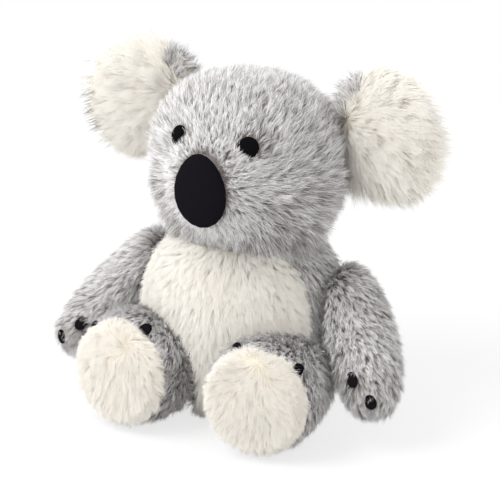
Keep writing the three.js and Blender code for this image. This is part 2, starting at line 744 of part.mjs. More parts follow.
place("body_back", bodySolid, "grey_fur");
place("belly_panel", bellySolid, "white_fur");
place("neck_core", neckCoreSolid(0), "stuffing");
place("head", headPiece, "grey_fur");
place("nose", nose(), "black_pad");
place("eye_left", eye(1), "black_pad");
place("eye_right", eye(-1), "black_pad");
placePair("ear_SIDE_front", earHalf(true), "white_fur");
placePair("ear_SIDE_back", earHalf(false), "grey_fur");
placePair("arm_SIDE", armLeft, "grey_fur");
placePair("hand_SIDE_claw_inner", claw({ form: armForm, ...HAND_CLAW_INNER }), "black_pad");
placePair("hand_SIDE_claw_tip", claw({ form: armForm, ...HAND_CLAW_TIP }), "black_pad");
placePair("leg_SIDE", legLeft, "grey_fur");
placePair("sole_SIDE", soleLeft, "white_fur");
placePair(
  "foot_SIDE_claw_inner",
  claw({ form: legForm, ...FOOT_CLAW_INNER, beside: besideSole }),
  "black_pad",
);
placePair(
  "foot_SIDE_claw_outer",
  claw({ form: legForm, ...FOOT_CLAW_OUTER, beside: besideSole }),
  "black_pad",
);
place("back_flap", flap, "grey_fur");
place("loop_tape", loopTape, "tape");
place("hook_tape", hookTape, "tape");
place("pouch_lining", lining, "lining");
place("bottle_front", bottleHalf(true), "rubber");
place("bottle_back", bottleHalf(false), "rubber");
place("bottle_neck", bottleNeck, "rubber");
place("neck_ferrule", ferrule, "ferrule");
place("stopper_washer", washer, "rubber");
place("stopper", stopper(), "ferrule");

export default group;
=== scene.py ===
"""Looks of a seated plush koala that keeps a small hot water bottle in its back.

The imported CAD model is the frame. Each stuffed form gets a sewn backing that
stands a little inside its solid, and a pile of curved fibres that grows out of
it. Sizes are in millimetres in the fields, and in metres in the meshes.
"""

import json
import logging
import math
from dataclasses import dataclass, fields, replace
from enum import Enum

import bmesh
import bpy
import numpy as np
from mathutils import Matrix, Vector, noise

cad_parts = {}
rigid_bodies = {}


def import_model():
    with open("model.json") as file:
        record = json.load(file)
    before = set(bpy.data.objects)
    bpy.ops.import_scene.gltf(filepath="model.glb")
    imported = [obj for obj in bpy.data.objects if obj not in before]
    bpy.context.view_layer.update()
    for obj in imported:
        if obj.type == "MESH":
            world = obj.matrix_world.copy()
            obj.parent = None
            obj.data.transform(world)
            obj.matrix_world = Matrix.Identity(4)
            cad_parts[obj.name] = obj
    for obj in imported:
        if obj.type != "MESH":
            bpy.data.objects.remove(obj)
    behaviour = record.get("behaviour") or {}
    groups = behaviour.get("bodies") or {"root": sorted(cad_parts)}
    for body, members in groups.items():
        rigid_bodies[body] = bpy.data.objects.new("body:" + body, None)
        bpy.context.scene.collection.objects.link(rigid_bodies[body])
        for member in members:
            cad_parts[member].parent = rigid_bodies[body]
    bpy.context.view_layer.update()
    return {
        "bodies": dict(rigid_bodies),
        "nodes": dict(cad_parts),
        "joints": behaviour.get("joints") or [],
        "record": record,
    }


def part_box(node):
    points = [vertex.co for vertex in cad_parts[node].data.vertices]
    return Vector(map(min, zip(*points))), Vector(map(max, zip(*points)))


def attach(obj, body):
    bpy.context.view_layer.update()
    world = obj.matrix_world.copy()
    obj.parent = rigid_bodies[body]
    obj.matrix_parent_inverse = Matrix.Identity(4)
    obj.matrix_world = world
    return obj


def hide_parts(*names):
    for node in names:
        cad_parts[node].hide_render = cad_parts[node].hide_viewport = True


LOG = logging.getLogger("koala")
MM = 0.001
GROWN_SHARE = 1.0
MOST_TRIANGLES = 185_000  # in one mesh of pile
FIRST_SEED, SEED_STEP, TUFT_SEED = 1, 31, 5  # where fibres and tufts stand
BODY_CENTRE_Y = 5.0  # of the body's upright axis
HANGING_SPREAD = 180.0  # how far from that axis hanging pile would slant by 45 degrees
DOWN = np.array([0.0, 0.0, -1.0])
AHEAD = np.array([0.0, -1.0, 0.0])
WHITE = (1.0, 1.0, 1.0, 1.0)
MATH, VECTOR_MATH = "ShaderNodeMath", "ShaderNodeVectorMath"
RANDOM = "FunctionNodeRandomValue"

Points = np.ndarray
Band = tuple[float, float]  # where something starts, and where it is full

CLEAR_OF_CLAW: Band = (5.5, 7.5)  # from a claw's middle
SHORT_BY_CLAW: Band = (6.0, 15.0)
SHORTEST_BY_CLAW = 0.6  # share of the pile's length
TURNED_AWAY: Band = (-0.55, -0.25)  # cosines over which a backing turns away and is left bare


class Side(Enum):
    """A side of the koala, by the sign of its X."""

    LEFT = 1
    RIGHT = -1

    @property
    def word(self) -> str:
        """The side as the CAD nodes spell it."""
        return self.name.lower()


class Draw(Enum):
    """A random draw of the pile, by its seed."""

    TUFT_WAY = 7
    STRAY_WAY = 11
    SHADE = 13
    TUFT_SHADE = 17
    ROLL = 19


def linear(code: str) -> tuple[float, float, float, float]:
    """Turns an sRGB hex colour into linear light.

    Args:
        code: Six hex digits after a hash sign.

    Returns:
        Linear red, green and blue, and full alpha.
    """
    shares = [int(code[i : i + 2], 16) / 255 for i in (1, 3, 5)]
    light = [c / 12.92 if c <= 0.04045 else ((c + 0.055) / 1.055) ** 2.4 for c in shares]
    return (light[0], light[1], light[2], 1.0)


def add(
    tree: bpy.types.NodeTree, kind: str, feeds: dict | tuple = (), **settings: object
) -> bpy.types.Node:
    """Adds one node to a tree.

    Args:
        tree: The tree that gets the node.
        kind: Blender's identifier of the node.
        feeds: What its inputs get, in their order or by name or number: a node
            for its first output, another socket, or a value to set.
        settings: The node's own properties.

    Returns:
        The new node.
    """
    node = tree.nodes.new(kind)
    for name, value in settings.items():
        setattr(node, name, value)
    for key, value in feeds.items() if isinstance(feeds, dict) else enumerate(feeds):
        if isinstance(value, bpy.types.Node):
            value = value.outputs[0]
        if isinstance(value, bpy.types.NodeSocket):
            tree.links.new(value, node.inputs[key])
        else:
            node.inputs[key].default_value = value
    return node


def empty_material(name: str) -> bpy.types.Material:
    """Makes a material with an empty node tree.

    Args:
        name: The material's name.

    Returns:
        The material.
    """
    material = bpy.data.materials.new(name)
    material.use_nodes = True
    material.node_tree.nodes.clear()
    return material


@dataclass(frozen=True)
class PileFinish:
    """Knitted polyester plush, cut and combed.

    The eye gets soft pale tips over shaded gaps, and tufts that differ a
    little from each other. On the fibres' own map, U is the shade from the
    darkest tuft to the palest, and V runs from root to tip.
    """

    name: str
    pale: tuple[str, str, str]  # a pale fibre's root, shaft and tip
    dark: tuple[str, str, str]
    roughness: float = 0.85
    gloss: float = 0.15
    sheen: float = 0.15
    sheen_roughness: float = 0.5
    softness: float = 0.7  # how far the light falls on the pile as on its backing
    glow: float = 0.35  # share of the light that a fibre lets through to those under it
    shaft: float = 0.45  # where along a fibre its shaft's colour stands
    tip: float = 0.85
    turning: Band = (-0.65, -0.15)  # cosines over which a backing seen from behind turns

    def normal(self, tree: bpy.types.NodeTree) -> bpy.types.Node:
        """Mixes the fibre's own normal with that of the backing, on the side that is seen.

        Args:
            tree: The tree of the material.

        Returns:
            The node that gives the mixed normal.
        """
        stored = add(tree, "ShaderNodeAttribute", attribute_name="backing_normal")
        backing = add(
            tree,
            "ShaderNodeVectorTransform",
            (stored.outputs["Vector"],),
            vector_type="NORMAL",
            convert_from="OBJECT",
            convert_to="WORLD",
        )
        own = add(tree, "ShaderNodeNewGeometry").outputs["Normal"]
        same_way = add(tree, VECTOR_MATH, (own, backing), operation="DOT_PRODUCT")
        low, high = self.turning
        side = add(
            tree,
            "ShaderNodeMapRange",
            {
                "Value": same_way.outputs["Value"],
                "From Min": low,
                "From Max": high,
                "To Min": -1.0,
                "To Max": 1.0,
            },
        )
        seen = add(tree, VECTOR_MATH, {0: backing, "Scale": side}, operation="SCALE")
        mix = add(tree, "ShaderNodeMix", {0: self.softness, 4: own, 5: seen}, data_type="VECTOR")
        return add(tree, VECTOR_MATH, (mix.outputs[1],), operation="NORMALIZE")

    def colour(self, tree: bpy.types.NodeTree) -> bpy.types.NodeSocket:
        """Colours a fibre from root to tip, between the dark and the pale tufts.

        Args:
            tree: The tree of the material.

        Returns:
            The socket that gives the colour.
        """
        uv = add(tree, "ShaderNodeUVMap", uv_map="OFBake")
        parts = add(tree, "ShaderNodeSeparateXYZ", (uv,)).outputs
        ramps = []
        for root, shaft, tip in (self.dark, self.pale):
            ramp = add(tree, "ShaderNodeValToRGB", (parts["Y"],))
            stops = ramp.color_ramp.elements
            stops[0].position, stops[0].color = 0.0, linear(root)
            stops[1].position, stops[1].color = self.tip, linear(tip)
            stops.new(self.shaft).color = linear(shaft)
            ramps.append(ramp)
        mix = add(
            tree, "ShaderNodeMix", {0: parts["X"], 6: ramps[0], 7: ramps[1]}, data_type="RGBA"
        )
        return mix.outputs[2]

    def material(self) -> bpy.types.Material:
        """Builds the material of the fibres.

        Returns:
            The material.
        """
        material = empty_material(self.name)
        tree = material.node_tree
        surface = add(
            tree,
            "ShaderNodeBsdfPrincipled",
            {
                "Base Color": self.colour(tree),
                "Roughness": self.roughness,
                "Specular IOR Level": self.gloss,
                "Sheen Weight": self.sheen,
                "Sheen Roughness": self.sheen_roughness,
                "Normal": self.normal(tree),
            },
        )
        clear = add(tree, "ShaderNodeBsdfTransparent")
        thin = add(tree, "ShaderNodeMixShader", (self.glow, surface, clear))
        path = add(tree, "ShaderNodeLightPath").outputs
        for ray in ("Is Shadow Ray", "Is Diffuse Ray"):
            surface = add(tree, "ShaderNodeMixShader", (path[ray], surface, thin))
        add(tree, "ShaderNodeOutputMaterial", (surface,))
        return material


@dataclass(frozen=True)
class GrainedFinish:
    """One even colour over a fine grain, which each kind of finish sets."""

    name: str
    colour: str
    roughness: float
    grain: float  # its spacing
    relief: float
    detail: float
    strength: float

    def sockets(self) -> dict[str, float]:
        """What the shader gets beside colour, roughness and grain."""
        return {}

    def material(self) -> bpy.types.Material:
        """Builds the material.

        Returns:
            The material.
        """
        material = empty_material(self.name)
        tree = material.node_tree
        place = add(tree, "ShaderNodeTexCoord").outputs["Object"]
        grain = add(
            tree,
            "ShaderNodeTexNoise",
            {"Vector": place, "Scale": 1 / (self.grain * MM), "Detail": self.detail},
        )
        bump = add(
            tree,
            "ShaderNodeBump",
            {"Strength": self.strength, "Distance": self.relief * MM, "Height": grain},
        )
        feeds = {"Base Color": linear(self.colour), "Roughness": self.roughness, "Normal": bump}
        shader = add(tree, "ShaderNodeBsdfPrincipled", {**feeds, **self.sockets()})
        add(tree, "ShaderNodeOutputMaterial", (shader,))
        return material


@dataclass(frozen=True)
class ClothFinish(GrainedFinish):
    """Plain cloth: the knitted backing under a pile, felt, velour or a woven lining.

    The eye gets a matt surface with a thread's grain. On felt and velour it is
    drawn coarser than on the real cloth, so that it shows.
    """

    roughness: float = 0.92
    grain: float = 0.6
    relief: float = 0.25
    detail: float = 3.0
    strength: float = 0.5
    gloss: float = 0.2
    sheen: float = 0.1

    def sockets(self) -> dict[str, float]:
        """The faint gloss and the sheen of cloth."""
        return {"Specular IOR Level": self.gloss, "Sheen Weight": self.sheen}


@dataclass(frozen=True)
class MouldedFinish(GrainedFinish):
    """Rubber or plastic as it comes from its mould.

    The eye gets one even colour, a soft gloss and the faint grain of the
    mould, drawn coarser than it is so that it shows.
    """

    roughness: float = 0.5
    grain: float = 0.9
    relief: float = 0.03
    detail: float = 2.0
    strength: float = 0.6
    ior: float = 1.52  # of rubber and of nylon

    def sockets(self) -> dict[str, float]:
        """The gloss of the moulded material."""
        return {"IOR": self.ior}


GREY_PLUSH = PileFinish(
    "grey_plush_pile",
    pale=("#8a837f", "#e6e4e3", "#fdfdfd"),
    dark=("#403835", "#8b8480", "#c5c1bf"),
    softness=0.6,
    glow=0.3,
)
FLECKED_PLUSH = replace(
    GREY_PLUSH, name="flecked_grey_plush_pile", dark=("#362f2c", "#6b6460", "#9b9592")
)
IVORY_PLUSH = PileFinish(
    "ivory_plush_pile",
    pale=("#e5ddcf", "#efebe2", "#f3f0e9"),
    dark=("#d8cebb", "#e8e2d6", "#eee9e0"),
    softness=0.97,
    glow=0.55,
)
NYLON_HOOKS = PileFinish(
    "charcoal_nylon_hooks",
    pale=("#3d3e42", "#56575c", "#74757a"),
    dark=("#2a2b2e", "#3f4044", "#595a5e"),
    roughness=0.5,
    sheen=0.0,
    softness=0.3,
    glow=0.0,
)
GREY_BACKING = ClothFinish("grey_knit_backing", "#7d7570")
IVORY_BACKING = ClothFinish("ivory_knit_backing", "#e6dccb")
NOSE_VELOUR = ClothFinish("black_nose_velour", "#131116", grain=0.9, gloss=0.03, sheen=0.0)
EYE_FELT = ClothFinish("black_eye_felt", "#0c0b0d", grain=0.8, gloss=0.03, sheen=0.0)
CLAW_FELT = ClothFinish("black_claw_felt", "#151317", grain=0.8, gloss=0.03, sheen=0.0)
CORE_CLOTH = ClothFinish("white_woven_core", "#e9e6df", grain=0.7)
LINING_CLOTH = ClothFinish("grey_woven_lining", "#8d9096", relief=0.15, gloss=0.3)
TAPE_WEAVE = ClothFinish("charcoal_woven_tape", "#46474b", grain=0.5)
RUBBER = MouldedFinish("blue_grey_moulded_rubber", "#5f7f95")
NYLON = MouldedFinish("natural_moulded_nylon", "#d8d4c8", roughness=0.38, relief=0.01)


@dataclass(frozen=True)
class Pile:
    """The cut and set of a pile.

    Its fibres are drawn more than ten times as wide as real ones, and fewer,
    so that they show.
    """

    length: float
    width: float
    per_mm2: float
    lift: float = 0.8  # how much a fibre starts away from the backing
    lay: float = 0.9  # how much it is combed over
    droop: float = 0.15
    tuft: float = 4.0  # spacing of the tufts that the fibres gather to
    gather: float = 0.6
    spread: float = 0.3  # how much the tufts differ in direction
    stray: float = 0.14  # how much the fibres in a tuft do
    curl: float = 0.8
    roll: float = 1.1  # how far a fibre turns on its own axis either way, in radians
    fleck: float = 0.8  # how much neighbouring fibres differ in shade
    rows: int = 3  # of corners along a fibre


GREY_PILE = Pile(length=14.0, width=0.5, per_mm2=1.6, tuft=2.8)
HEAD_PILE = Pile(length=17.0, width=0.42, per_mm2=2.05, tuft=2.7, stray=0.15, fleck=1.8)
ARM_PILE = Pile(length=14.0, width=0.45, per_mm2=1.9, tuft=2.7, gather=0.7)
LEG_PILE = replace(GREY_PILE, length=13.0)
BELLY_PILE = Pile(
    length=17.0, width=0.5, per_mm2=2.3, lift=0.65, spread=0.15, roll=0.4, fleck=0.3
)
SOLE_PILE = replace(BELLY_PILE, length=16.0, per_mm2=2.6, lift=0.6, spread=0.13)
EAR_PILE = Pile(
    length=28.0,
    width=0.5,
    per_mm2=2.6,
    tuft=5.0,
    lift=0.45,
    lay=1.0,
    gather=0.3,
    spread=0.16,
    stray=0.12,
    curl=1.4,
    roll=0.45,
    fleck=0.3,
    rows=4,
)
# The grey pile at the ivory ear front's root: the back's grey fur where it shows, and painted
# shade in the crease by the head.
EAR_ROOT_PILE = Pile(length=17.0, width=0.5, per_mm2=2.4, fleck=1.2)
EAR_BACK_PILE = Pile(length=16.0, width=0.6, per_mm2=1.5)
HOOKS = Pile(
    length=1.3, width=0.3, per_mm2=2.0, lift=1.0, lay=0.5, tuft=1.0, gather=0.0, curl=0.1
)
LOOPS = Pile(length=1.2, width=0.3, per_mm2=4.0, lift=0.7, lay=0.2, tuft=1.5, spread=0.9, curl=0.2)


@dataclass
class Comb:
    """How the pile lies at each point of a backing, or all over it."""

    direction: Points
    long: Points | float = 1.0
    cover: Points | float = 1.0
    lift: Points | float = 1.0
    tone: Points | float = 0.0  # added to the fibres' shade

    def stored(self) -> dict[str, Points]:
        """Lists the values that the strand tree reads.

        Returns:
            The values at each point, by the names that the tree knows.
        """
        count = len(self.direction)
        shares = {name: getattr(self, name) for name in ("long", "cover", "lift", "tone")}
        spread = {name: np.broadcast_to(share, count) for name, share in shares.items()}
        return {"comb": self.direction, **spread}


class StrandTree:
    """The node tree that grows tapered, curved fibres on a backing.

    Fibres are scattered over the faces, gather towards the nearest of a
    coarser set of tuft centres, and start and end in directions mixed from
    the surface, the comb and the tuft. Each is a narrow ribbon.
    """

    IN_MM = {"length", "width", "tuft", "curl"}  # inputs that the tree gets in metres
    WHOLE = ("rows", "seed", "tuft_seed")
    NUMBERS = ("long", "cover", "lift", "tone")
    VECTORS = ("comb", "backing_normal")
    OWN_NUMBERS = ("pile_length", "pile_roll", "pile_shade", "pile_across", "pile_along")
    OWN_VECTORS = ("pile_root", "pile_start", "pile_end", "pile_pull", "pile_wave")
    KINDS = {
        **dict.fromkeys(NUMBERS + OWN_NUMBERS, "FLOAT"),
        **dict.fromkeys(VECTORS + OWN_VECTORS, "FLOAT_VECTOR"),
    }
    KEPT = "backing_normal"  # read by the fibres' material

    START_LAY, END_LAY = 0.55, 1.2  # shares of the lay at a fibre's root and tip
    END_LIFT = 0.3
    END_WANDER = 1.5
    SHORTEST, MORE = 0.72, 0.35  # a fibre's length as a share, and how much more it may be
    SHADE, TUFT_SHADE, CLOUD_SHADE = 0.15, 0.55, 0.7
    CLOUDS = 38.0  # soft patches of shade in a metre
    GATHERING = 1.5  # how late along its length a fibre bends to its tuft
    WAVING = 4.0  # radians of its wave along a fibre
    TAPER = 0.45  # of its width, from root to tip
    ABOVE = (-9.0, -9.0, 0.0003)  # no fibre goes through the floor

    def __init__(self) -> None:
        """Builds the tree once."""
        self.tree = bpy.data.node_groups.new("pile_strands", "GeometryNodeTree")
        face = self.tree.interface
        face.new_socket("Geometry", in_out="OUTPUT", socket_type="NodeSocketGeometry")
        inputs = {"backing": "Geometry", **{size.name: "Float" for size in fields(Pile)}}
        inputs |= {**dict.fromkeys(self.WHOLE, "Int"), "material": "Material"}
        for name, kind in inputs.items():
            face.new_socket(name, in_out="INPUT", socket_type=f"NodeSocket{kind}")
        self.given = add(self.tree, "NodeGroupInput").outputs
        self.read = {
            name: add(self.tree, "GeometryNodeInputNamedAttribute", (name,), data_type=kind)
            for name, kind in self.KINDS.items()
        }
        self._join()

    def _total(self, *terms: tuple[object, object]) -> bpy.types.Node:
        """Adds up vectors, each times its share.

        Args:
            terms: Pairs of a vector and a number.

        Returns:
            The node that ends the sum.
        """
        parts = [
            add(self.tree, VECTOR_MATH, {0: vector, "Scale": share}, operation="SCALE")
            for vector, share in terms
        ]
        total = parts[0]
        for part in parts[1:]:
            total = add(self.tree, VECTOR_MATH, (total, part), operation="ADD")
        return total

    def _product(self, first: object, *others: object) -> bpy.types.Node:
        """Multiplies numbers.

        Args:
            first: A number.
            others: The numbers that it is multiplied by.

        Returns:
            The node that ends the product.
        """
        for other in others:
            first = add(self.tree, MATH, (first, other), operation="MULTIPLY")
        return first

    def _kept(self, geometry: object, values: dict[str, object]) -> bpy.types.Node:
        """Stores values on a geometry's points.

        Args:
            geometry: The points, or a mesh.
            values: The value that each attribute gets.

        Returns:
            The node that ends the chain.
        """
        for name, value in values.items():
            geometry = add(
                self.tree,
                "GeometryNodeStoreNamedAttribute",
                {"Geometry": geometry, "Name": name, "Value": value},
                data_type=self.KINDS[name],
                domain="POINT",
            )
        return geometry

    def _draws(self, tuft: bpy.types.Node) -> dict[Draw, bpy.types.NodeSocket]:
        """Draws what is left to chance.

        Args:
            tuft: The node that gives the index of a fibre's tuft.

        Returns:
            The socket of each draw.
        """
        ways = {0: (-1.0, -1.0, -1.0), 1: (1.0, 1.0, 1.0)}
        shares = {2: 0.0, 3: 1.0}
        feeds = {
            Draw.TUFT_WAY: {**ways, "ID": tuft},
            Draw.STRAY_WAY: ways,
            Draw.SHADE: shares,
            Draw.TUFT_SHADE: {**shares, "ID": tuft},
            Draw.ROLL: {2: self._product(self.given["roll"], -1.0), 3: self.given["roll"]},
        }
        drawn = {}
        for draw, fed in feeds.items():
            kind, output = ("FLOAT_VECTOR", 0) if 0 in fed else ("FLOAT", 1)
            node = add(self.tree, RANDOM, {**fed, "Seed": draw.value}, data_type=kind)
            drawn[draw] = node.outputs[output]
        return drawn

    def _roots(self) -> bpy.types.Node:
        """Scatters the roots and settles each fibre's own values.

        Returns:
            The node that gives the roots.
        """
        tree, given, read = self.tree, self.given, self.read
        tuft_area = self._product(given["tuft"], given["tuft"])
        per_area = add(tree, MATH, (1.0, tuft_area), operation="DIVIDE")
        fibres, tufts = (
            add(
                tree,
                "GeometryNodeDistributePointsOnFaces",
                {"Mesh": given["backing"], "Density": density, "Seed": given[seed]},
                distribute_method="RANDOM",
            )
            for density, seed in (
                (self._product(given["per_mm2"], read["cover"]), "seed"),
                (per_area, "tuft_seed"),
            )
        )
        here = add(tree, "GeometryNodeInputPosition")
        nearest = add(
            tree, "GeometryNodeSampleNearest", {"Geometry": tufts, "Sample Position": here}
        )
        centre = add(
            tree,
            "GeometryNodeSampleIndex",
            {"Geometry": tufts, "Value": here, "Index": nearest},
            data_type="FLOAT_VECTOR",
        )
        drawn = self._draws(nearest)
        tuft, chance = drawn[Draw.TUFT_WAY], drawn[Draw.SHADE]
        normal = fibres.outputs["Normal"]
        wander = self._total((tuft, given["spread"]), (drawn[Draw.STRAY_WAY], given["stray"]))
        lift = self._product(given["lift"], read["lift"])
        start = self._total(
            (normal, lift),
            (read["comb"], self._product(given["lay"], self.START_LAY)),
            (wander, 1.0),
        )
        end = self._total(
            (normal, self._product(lift, self.END_LIFT)),
            (read["comb"], self._product(given["lay"], self.END_LAY)),
            (wander, self.END_WANDER),
            (tuple(DOWN), given["droop"]),
        )
        varied = add(tree, MATH, (chance, self.MORE, self.SHORTEST), operation="MULTIPLY_ADD")
        fleck, tuft_fleck = (
            self._product(add(tree, MATH, (draw, 0.5), operation="SUBTRACT"), given["fleck"])
            for draw in (chance, drawn[Draw.TUFT_SHADE])
        )
        cloud = add(
            tree, "ShaderNodeTexNoise", {"Vector": here, "Scale": self.CLOUDS, "Detail": 1.0}
        )
        shade = add(tree, MATH, (fleck, self.SHADE), operation="ADD")
        shade = add(tree, MATH, (cloud, self.CLOUD_SHADE, shade), operation="MULTIPLY_ADD")
        shade = add(tree, MATH, (tuft_fleck, self.TUFT_SHADE, shade), operation="MULTIPLY_ADD")
        to_tuft = add(tree, VECTOR_MATH, (centre, here), operation="SUBTRACT")
        across = add(tree, VECTOR_MATH, (normal, tuft), operation="CROSS_PRODUCT")
        return self._kept(
            fibres,
            {
                "pile_root": here,
                "backing_normal": normal,
                "pile_start": add(tree, VECTOR_MATH, (start,), operation="NORMALIZE"),
                "pile_end": add(tree, VECTOR_MATH, (end,), operation="NORMALIZE"),
                "pile_pull": self._total((to_tuft, self._product(given["gather"], read["long"]))),
                "pile_wave": self._total((across, self._product(given["curl"], read["long"]))),
                "pile_length": self._product(given["length"], read["long"], varied),
                "pile_roll": drawn[Draw.ROLL],
                "pile_shade": add(tree, MATH, (shade, read["tone"]), operation="ADD"),
            },
        )

    def _blank(self) -> bpy.types.Node:
        """Makes one flat fibre of unit size, with its two tip corners merged.

        Returns:
            The node that gives the fibre.
        """
        tree = self.tree
        grid = add(
            tree,
            "GeometryNodeMeshGrid",
            {"Size X": 2.0, "Size Y": 1.0, "Vertices X": 2, "Vertices Y": self.given["rows"]},
        )
        here = add(tree, "GeometryNodeInputPosition")
        parts = add(tree, "ShaderNodeSeparateXYZ", (here,)).outputs
        not_tip = add(tree, MATH, (parts["Y"], 0.49), operation="LESS_THAN")
        upward = add(tree, MATH, (parts["Y"], 0.5), operation="ADD")
        place = add(tree, "ShaderNodeCombineXYZ", (self._product(parts["X"], not_tip), upward))
        shaped = add(tree, "GeometryNodeSetPosition", {"Geometry": grid, "Position": place})
        merged = add(tree, "GeometryNodeMergeByDistance", {"Geometry": shaped, "Distance": 0.001})
        return self._kept(merged, {"pile_across": parts["X"], "pile_along": parts["Y"]})

    def _join(self) -> None:
        """Places a fibre on each root, bends it, and gives it its map and material."""
        tree, given, read = self.tree, self.given, self.read
        placed = add(
            tree,
            "GeometryNodeInstanceOnPoints",
            {"Points": self._roots(), "Instance": self._blank()},
        )
        real = add(tree, "GeometryNodeRealizeInstances", (placed,))
        along, across, roll = read["pile_along"], read["pile_across"], read["pile_roll"]
        start, end = read["pile_start"], read["pile_end"]
        by_end = self._product(along, along, 0.5)
        by_start = add(tree, MATH, (along, by_end), operation="SUBTRACT")
        rest = add(tree, MATH, (1.0, along), operation="SUBTRACT")
        heading = add(
            tree, VECTOR_MATH, (self._total((start, rest), (end, along)),), operation="NORMALIZE"
        )
        normal = read["backing_normal"]
        level = add(tree, VECTOR_MATH, (heading, normal), operation="CROSS_PRODUCT")
        flat = add(tree, VECTOR_MATH, (level,), operation="NORMALIZE")
        upright = add(tree, VECTOR_MATH, (flat, heading), operation="CROSS_PRODUCT")
        side = self._total(
            (flat, add(tree, MATH, (roll,), operation="COSINE")),
            (upright, add(tree, MATH, (roll,), operation="SINE")),
        )
        narrowed = add(tree, MATH, (along, -self.TAPER, 1.0), operation="MULTIPLY_ADD")
        breadth = self._product(across, self._product(given["width"], 0.5, narrowed))
        waved = self._product(along, self.WAVING)
        place = self._total(
            (read["pile_root"], 1.0),
            (self._total((start, by_start), (end, by_end)), read["pile_length"]),
            (read["pile_pull"], add(tree, MATH, (along, self.GATHERING), operation="POWER")),
            (read["pile_wave"], add(tree, MATH, (waved,), operation="SINE")),
            (side, breadth),
        )
        above = add(tree, VECTOR_MATH, (place, self.ABOVE), operation="MAXIMUM")
        bent = add(tree, "GeometryNodeSetPosition", {"Geometry": real, "Position": above})
        map_place = add(tree, "ShaderNodeCombineXYZ", (read["pile_shade"], along))
        mapped = add(
            tree,
            "GeometryNodeStoreNamedAttribute",
            {"Geometry": bent, "Name": "OFBake", "Value": map_place},
            data_type="FLOAT2",
            domain="CORNER",
        )
        smooth = add(tree, "GeometryNodeSetShadeSmooth", (mapped,))
        feeds = {"Geometry": smooth, "Material": given["material"]}
        add(tree, "NodeGroupOutput", (add(tree, "GeometryNodeSetMaterial", feeds),))

    def grow(
        self,
        backing: bpy.types.Mesh,
        pile: Pile,
        material: bpy.types.Material,
        number: int,
        share: float,
    ) -> bpy.types.Mesh:
        """Grows a pile on a backing.

        Args:
            backing: The mesh, with its comb stored on its points.
            pile: The cut of the pile.
            material: The material of the fibres.
            number: The mesh's place among those of the pile, from 0.
            share: How much of the whole pile this mesh holds.

        Returns:
            A plain mesh of fibres.
        """
        values = {
            size.name: getattr(pile, size.name) * (MM if size.name in self.IN_MM else 1)
            for size in fields(Pile)
        }
        values |= {
            "per_mm2": pile.per_mm2 * share * GROWN_SHARE / MM**2,
            "seed": FIRST_SEED + SEED_STEP * number,
            "tuft_seed": TUFT_SEED,
            "material": material,
        }
        holder = bpy.data.objects.new("growing", backing)
        bpy.context.scene.collection.objects.link(holder)
        modifier = holder.modifiers.new("pile", "NODES")
        modifier.node_group = self.tree
        for socket in self.tree.interface.items_tree:
            if socket.in_out == "INPUT" and socket.name in values:
                modifier[socket.identifier] = values[socket.name]
        graph = bpy.context.evaluated_depsgraph_get()
        mesh = bpy.data.meshes.new_from_object(
            holder.evaluated_get(graph), preserve_all_data_layers=True, depsgraph=graph
        )
        bpy.data.objects.remove(holder)
        stored = [a.name for a in mesh.attributes if a.name in self.KINDS and a.name != self.KEPT]
        for name in stored:
            mesh.attributes.remove(mesh.attributes[name])
        return mesh


def copied_solid(node: str, frame: dict) -> bpy.types.Mesh:
    """Copies a CAD solid as a mesh with merged corners.

    Args:
        node: The solid's name.
        frame: The loaded CAD frame.

    Returns:
        The mesh.
    """
    shape = bmesh.new()
    shape.from_mesh(frame["nodes"][node].data)
    bmesh.ops.remove_doubles(shape, verts=shape.verts, dist=1e-5)
    return finished_mesh(node, shape)


def finished_mesh(name: str, shape: bmesh.types.BMesh) -> bpy.types.Mesh:
    """Turns a shape into a mesh, and frees the shape.

    Args:
        name: The mesh's name.
        shape: The shape.

    Returns:
        The mesh.
    """
    mesh = bpy.data.meshes.new(name)
    shape.to_mesh(mesh)
    shape.free()
    return mesh


def with_modifiers(mesh: bpy.types.Mesh, *steps: tuple[str, dict]) -> bpy.types.Mesh:
    """Runs modifiers on a mesh.

    Args:
        mesh: The mesh to change.
        steps: The kind of each modifier, and its settings.

    Returns:
        The changed mesh.
    """
    holder = bpy.data.objects.new("shaping", mesh)
    bpy.context.scene.collection.objects.link(holder)
    for kind, settings in steps:
        modifier = holder.modifiers.new(kind, kind)
        for name, value in settings.items():
            setattr(modifier, name, value)
    graph = bpy.context.evaluated_depsgraph_get()
    made = bpy.data.meshes.new_from_object(holder.evaluated_get(graph), depsgraph=graph)
    bpy.data.objects.remove(holder)
    return made


def rounded(node: str, frame: dict, voxel: float, smoothing: int) -> bpy.types.Mesh:
    """Copies a CAD solid as an even mesh, and rounds its edges.

    Args:
        node: The solid's name.
        frame: The loaded CAD frame.
        voxel: The size of the mesh's facets.
        smoothing: How many times it is smoothed.

    Returns:
        The mesh.
    """
    return with_modifiers(
        copied_solid(node, frame),
        ("REMESH", {"mode": "VOXEL", "voxel_size": voxel * MM, "use_smooth_shade": True}),
        ("SMOOTH", {"factor": 0.5, "iterations": smoothing}),
    )


def corners(mesh: bpy.types.Mesh) -> tuple[Points, Points]:
    """Reads a mesh's corners.

    Args:
        mesh: The mesh.

    Returns:
        Their places in millimetres, and their normals.
    """
    count = len(mesh.vertices)
    places, normals = np.empty(count * 3), np.empty(count * 3)
    mesh.vertices.foreach_get("co", places)
    mesh.vertices.foreach_get("normal", normals)
    return places.reshape(-1, 3) / MM, normals.reshape(-1, 3)


def moved(mesh: bpy.types.Mesh, places: Points) -> None:
    """Puts a mesh's corners at new places, in millimetres."""
    mesh.vertices.foreach_set("co", (places * MM).astype(np.float32).ravel())
    mesh.update()


def lengths(vectors: Points) -> Points:
    """The vectors' lengths."""
    return np.linalg.norm(vectors, axis=-1)


def unit(vectors: Points) -> Points:
    """Vectors of length one."""
    return vectors / np.maximum(lengths(vectors), 1e-9)[..., None]


def along_surface(directions: Points, normals: Points) -> Points:
    """Directions laid down on the surface."""
    off = np.sum(directions * normals, axis=1, keepdims=True)
    return unit(directions - off * normals)


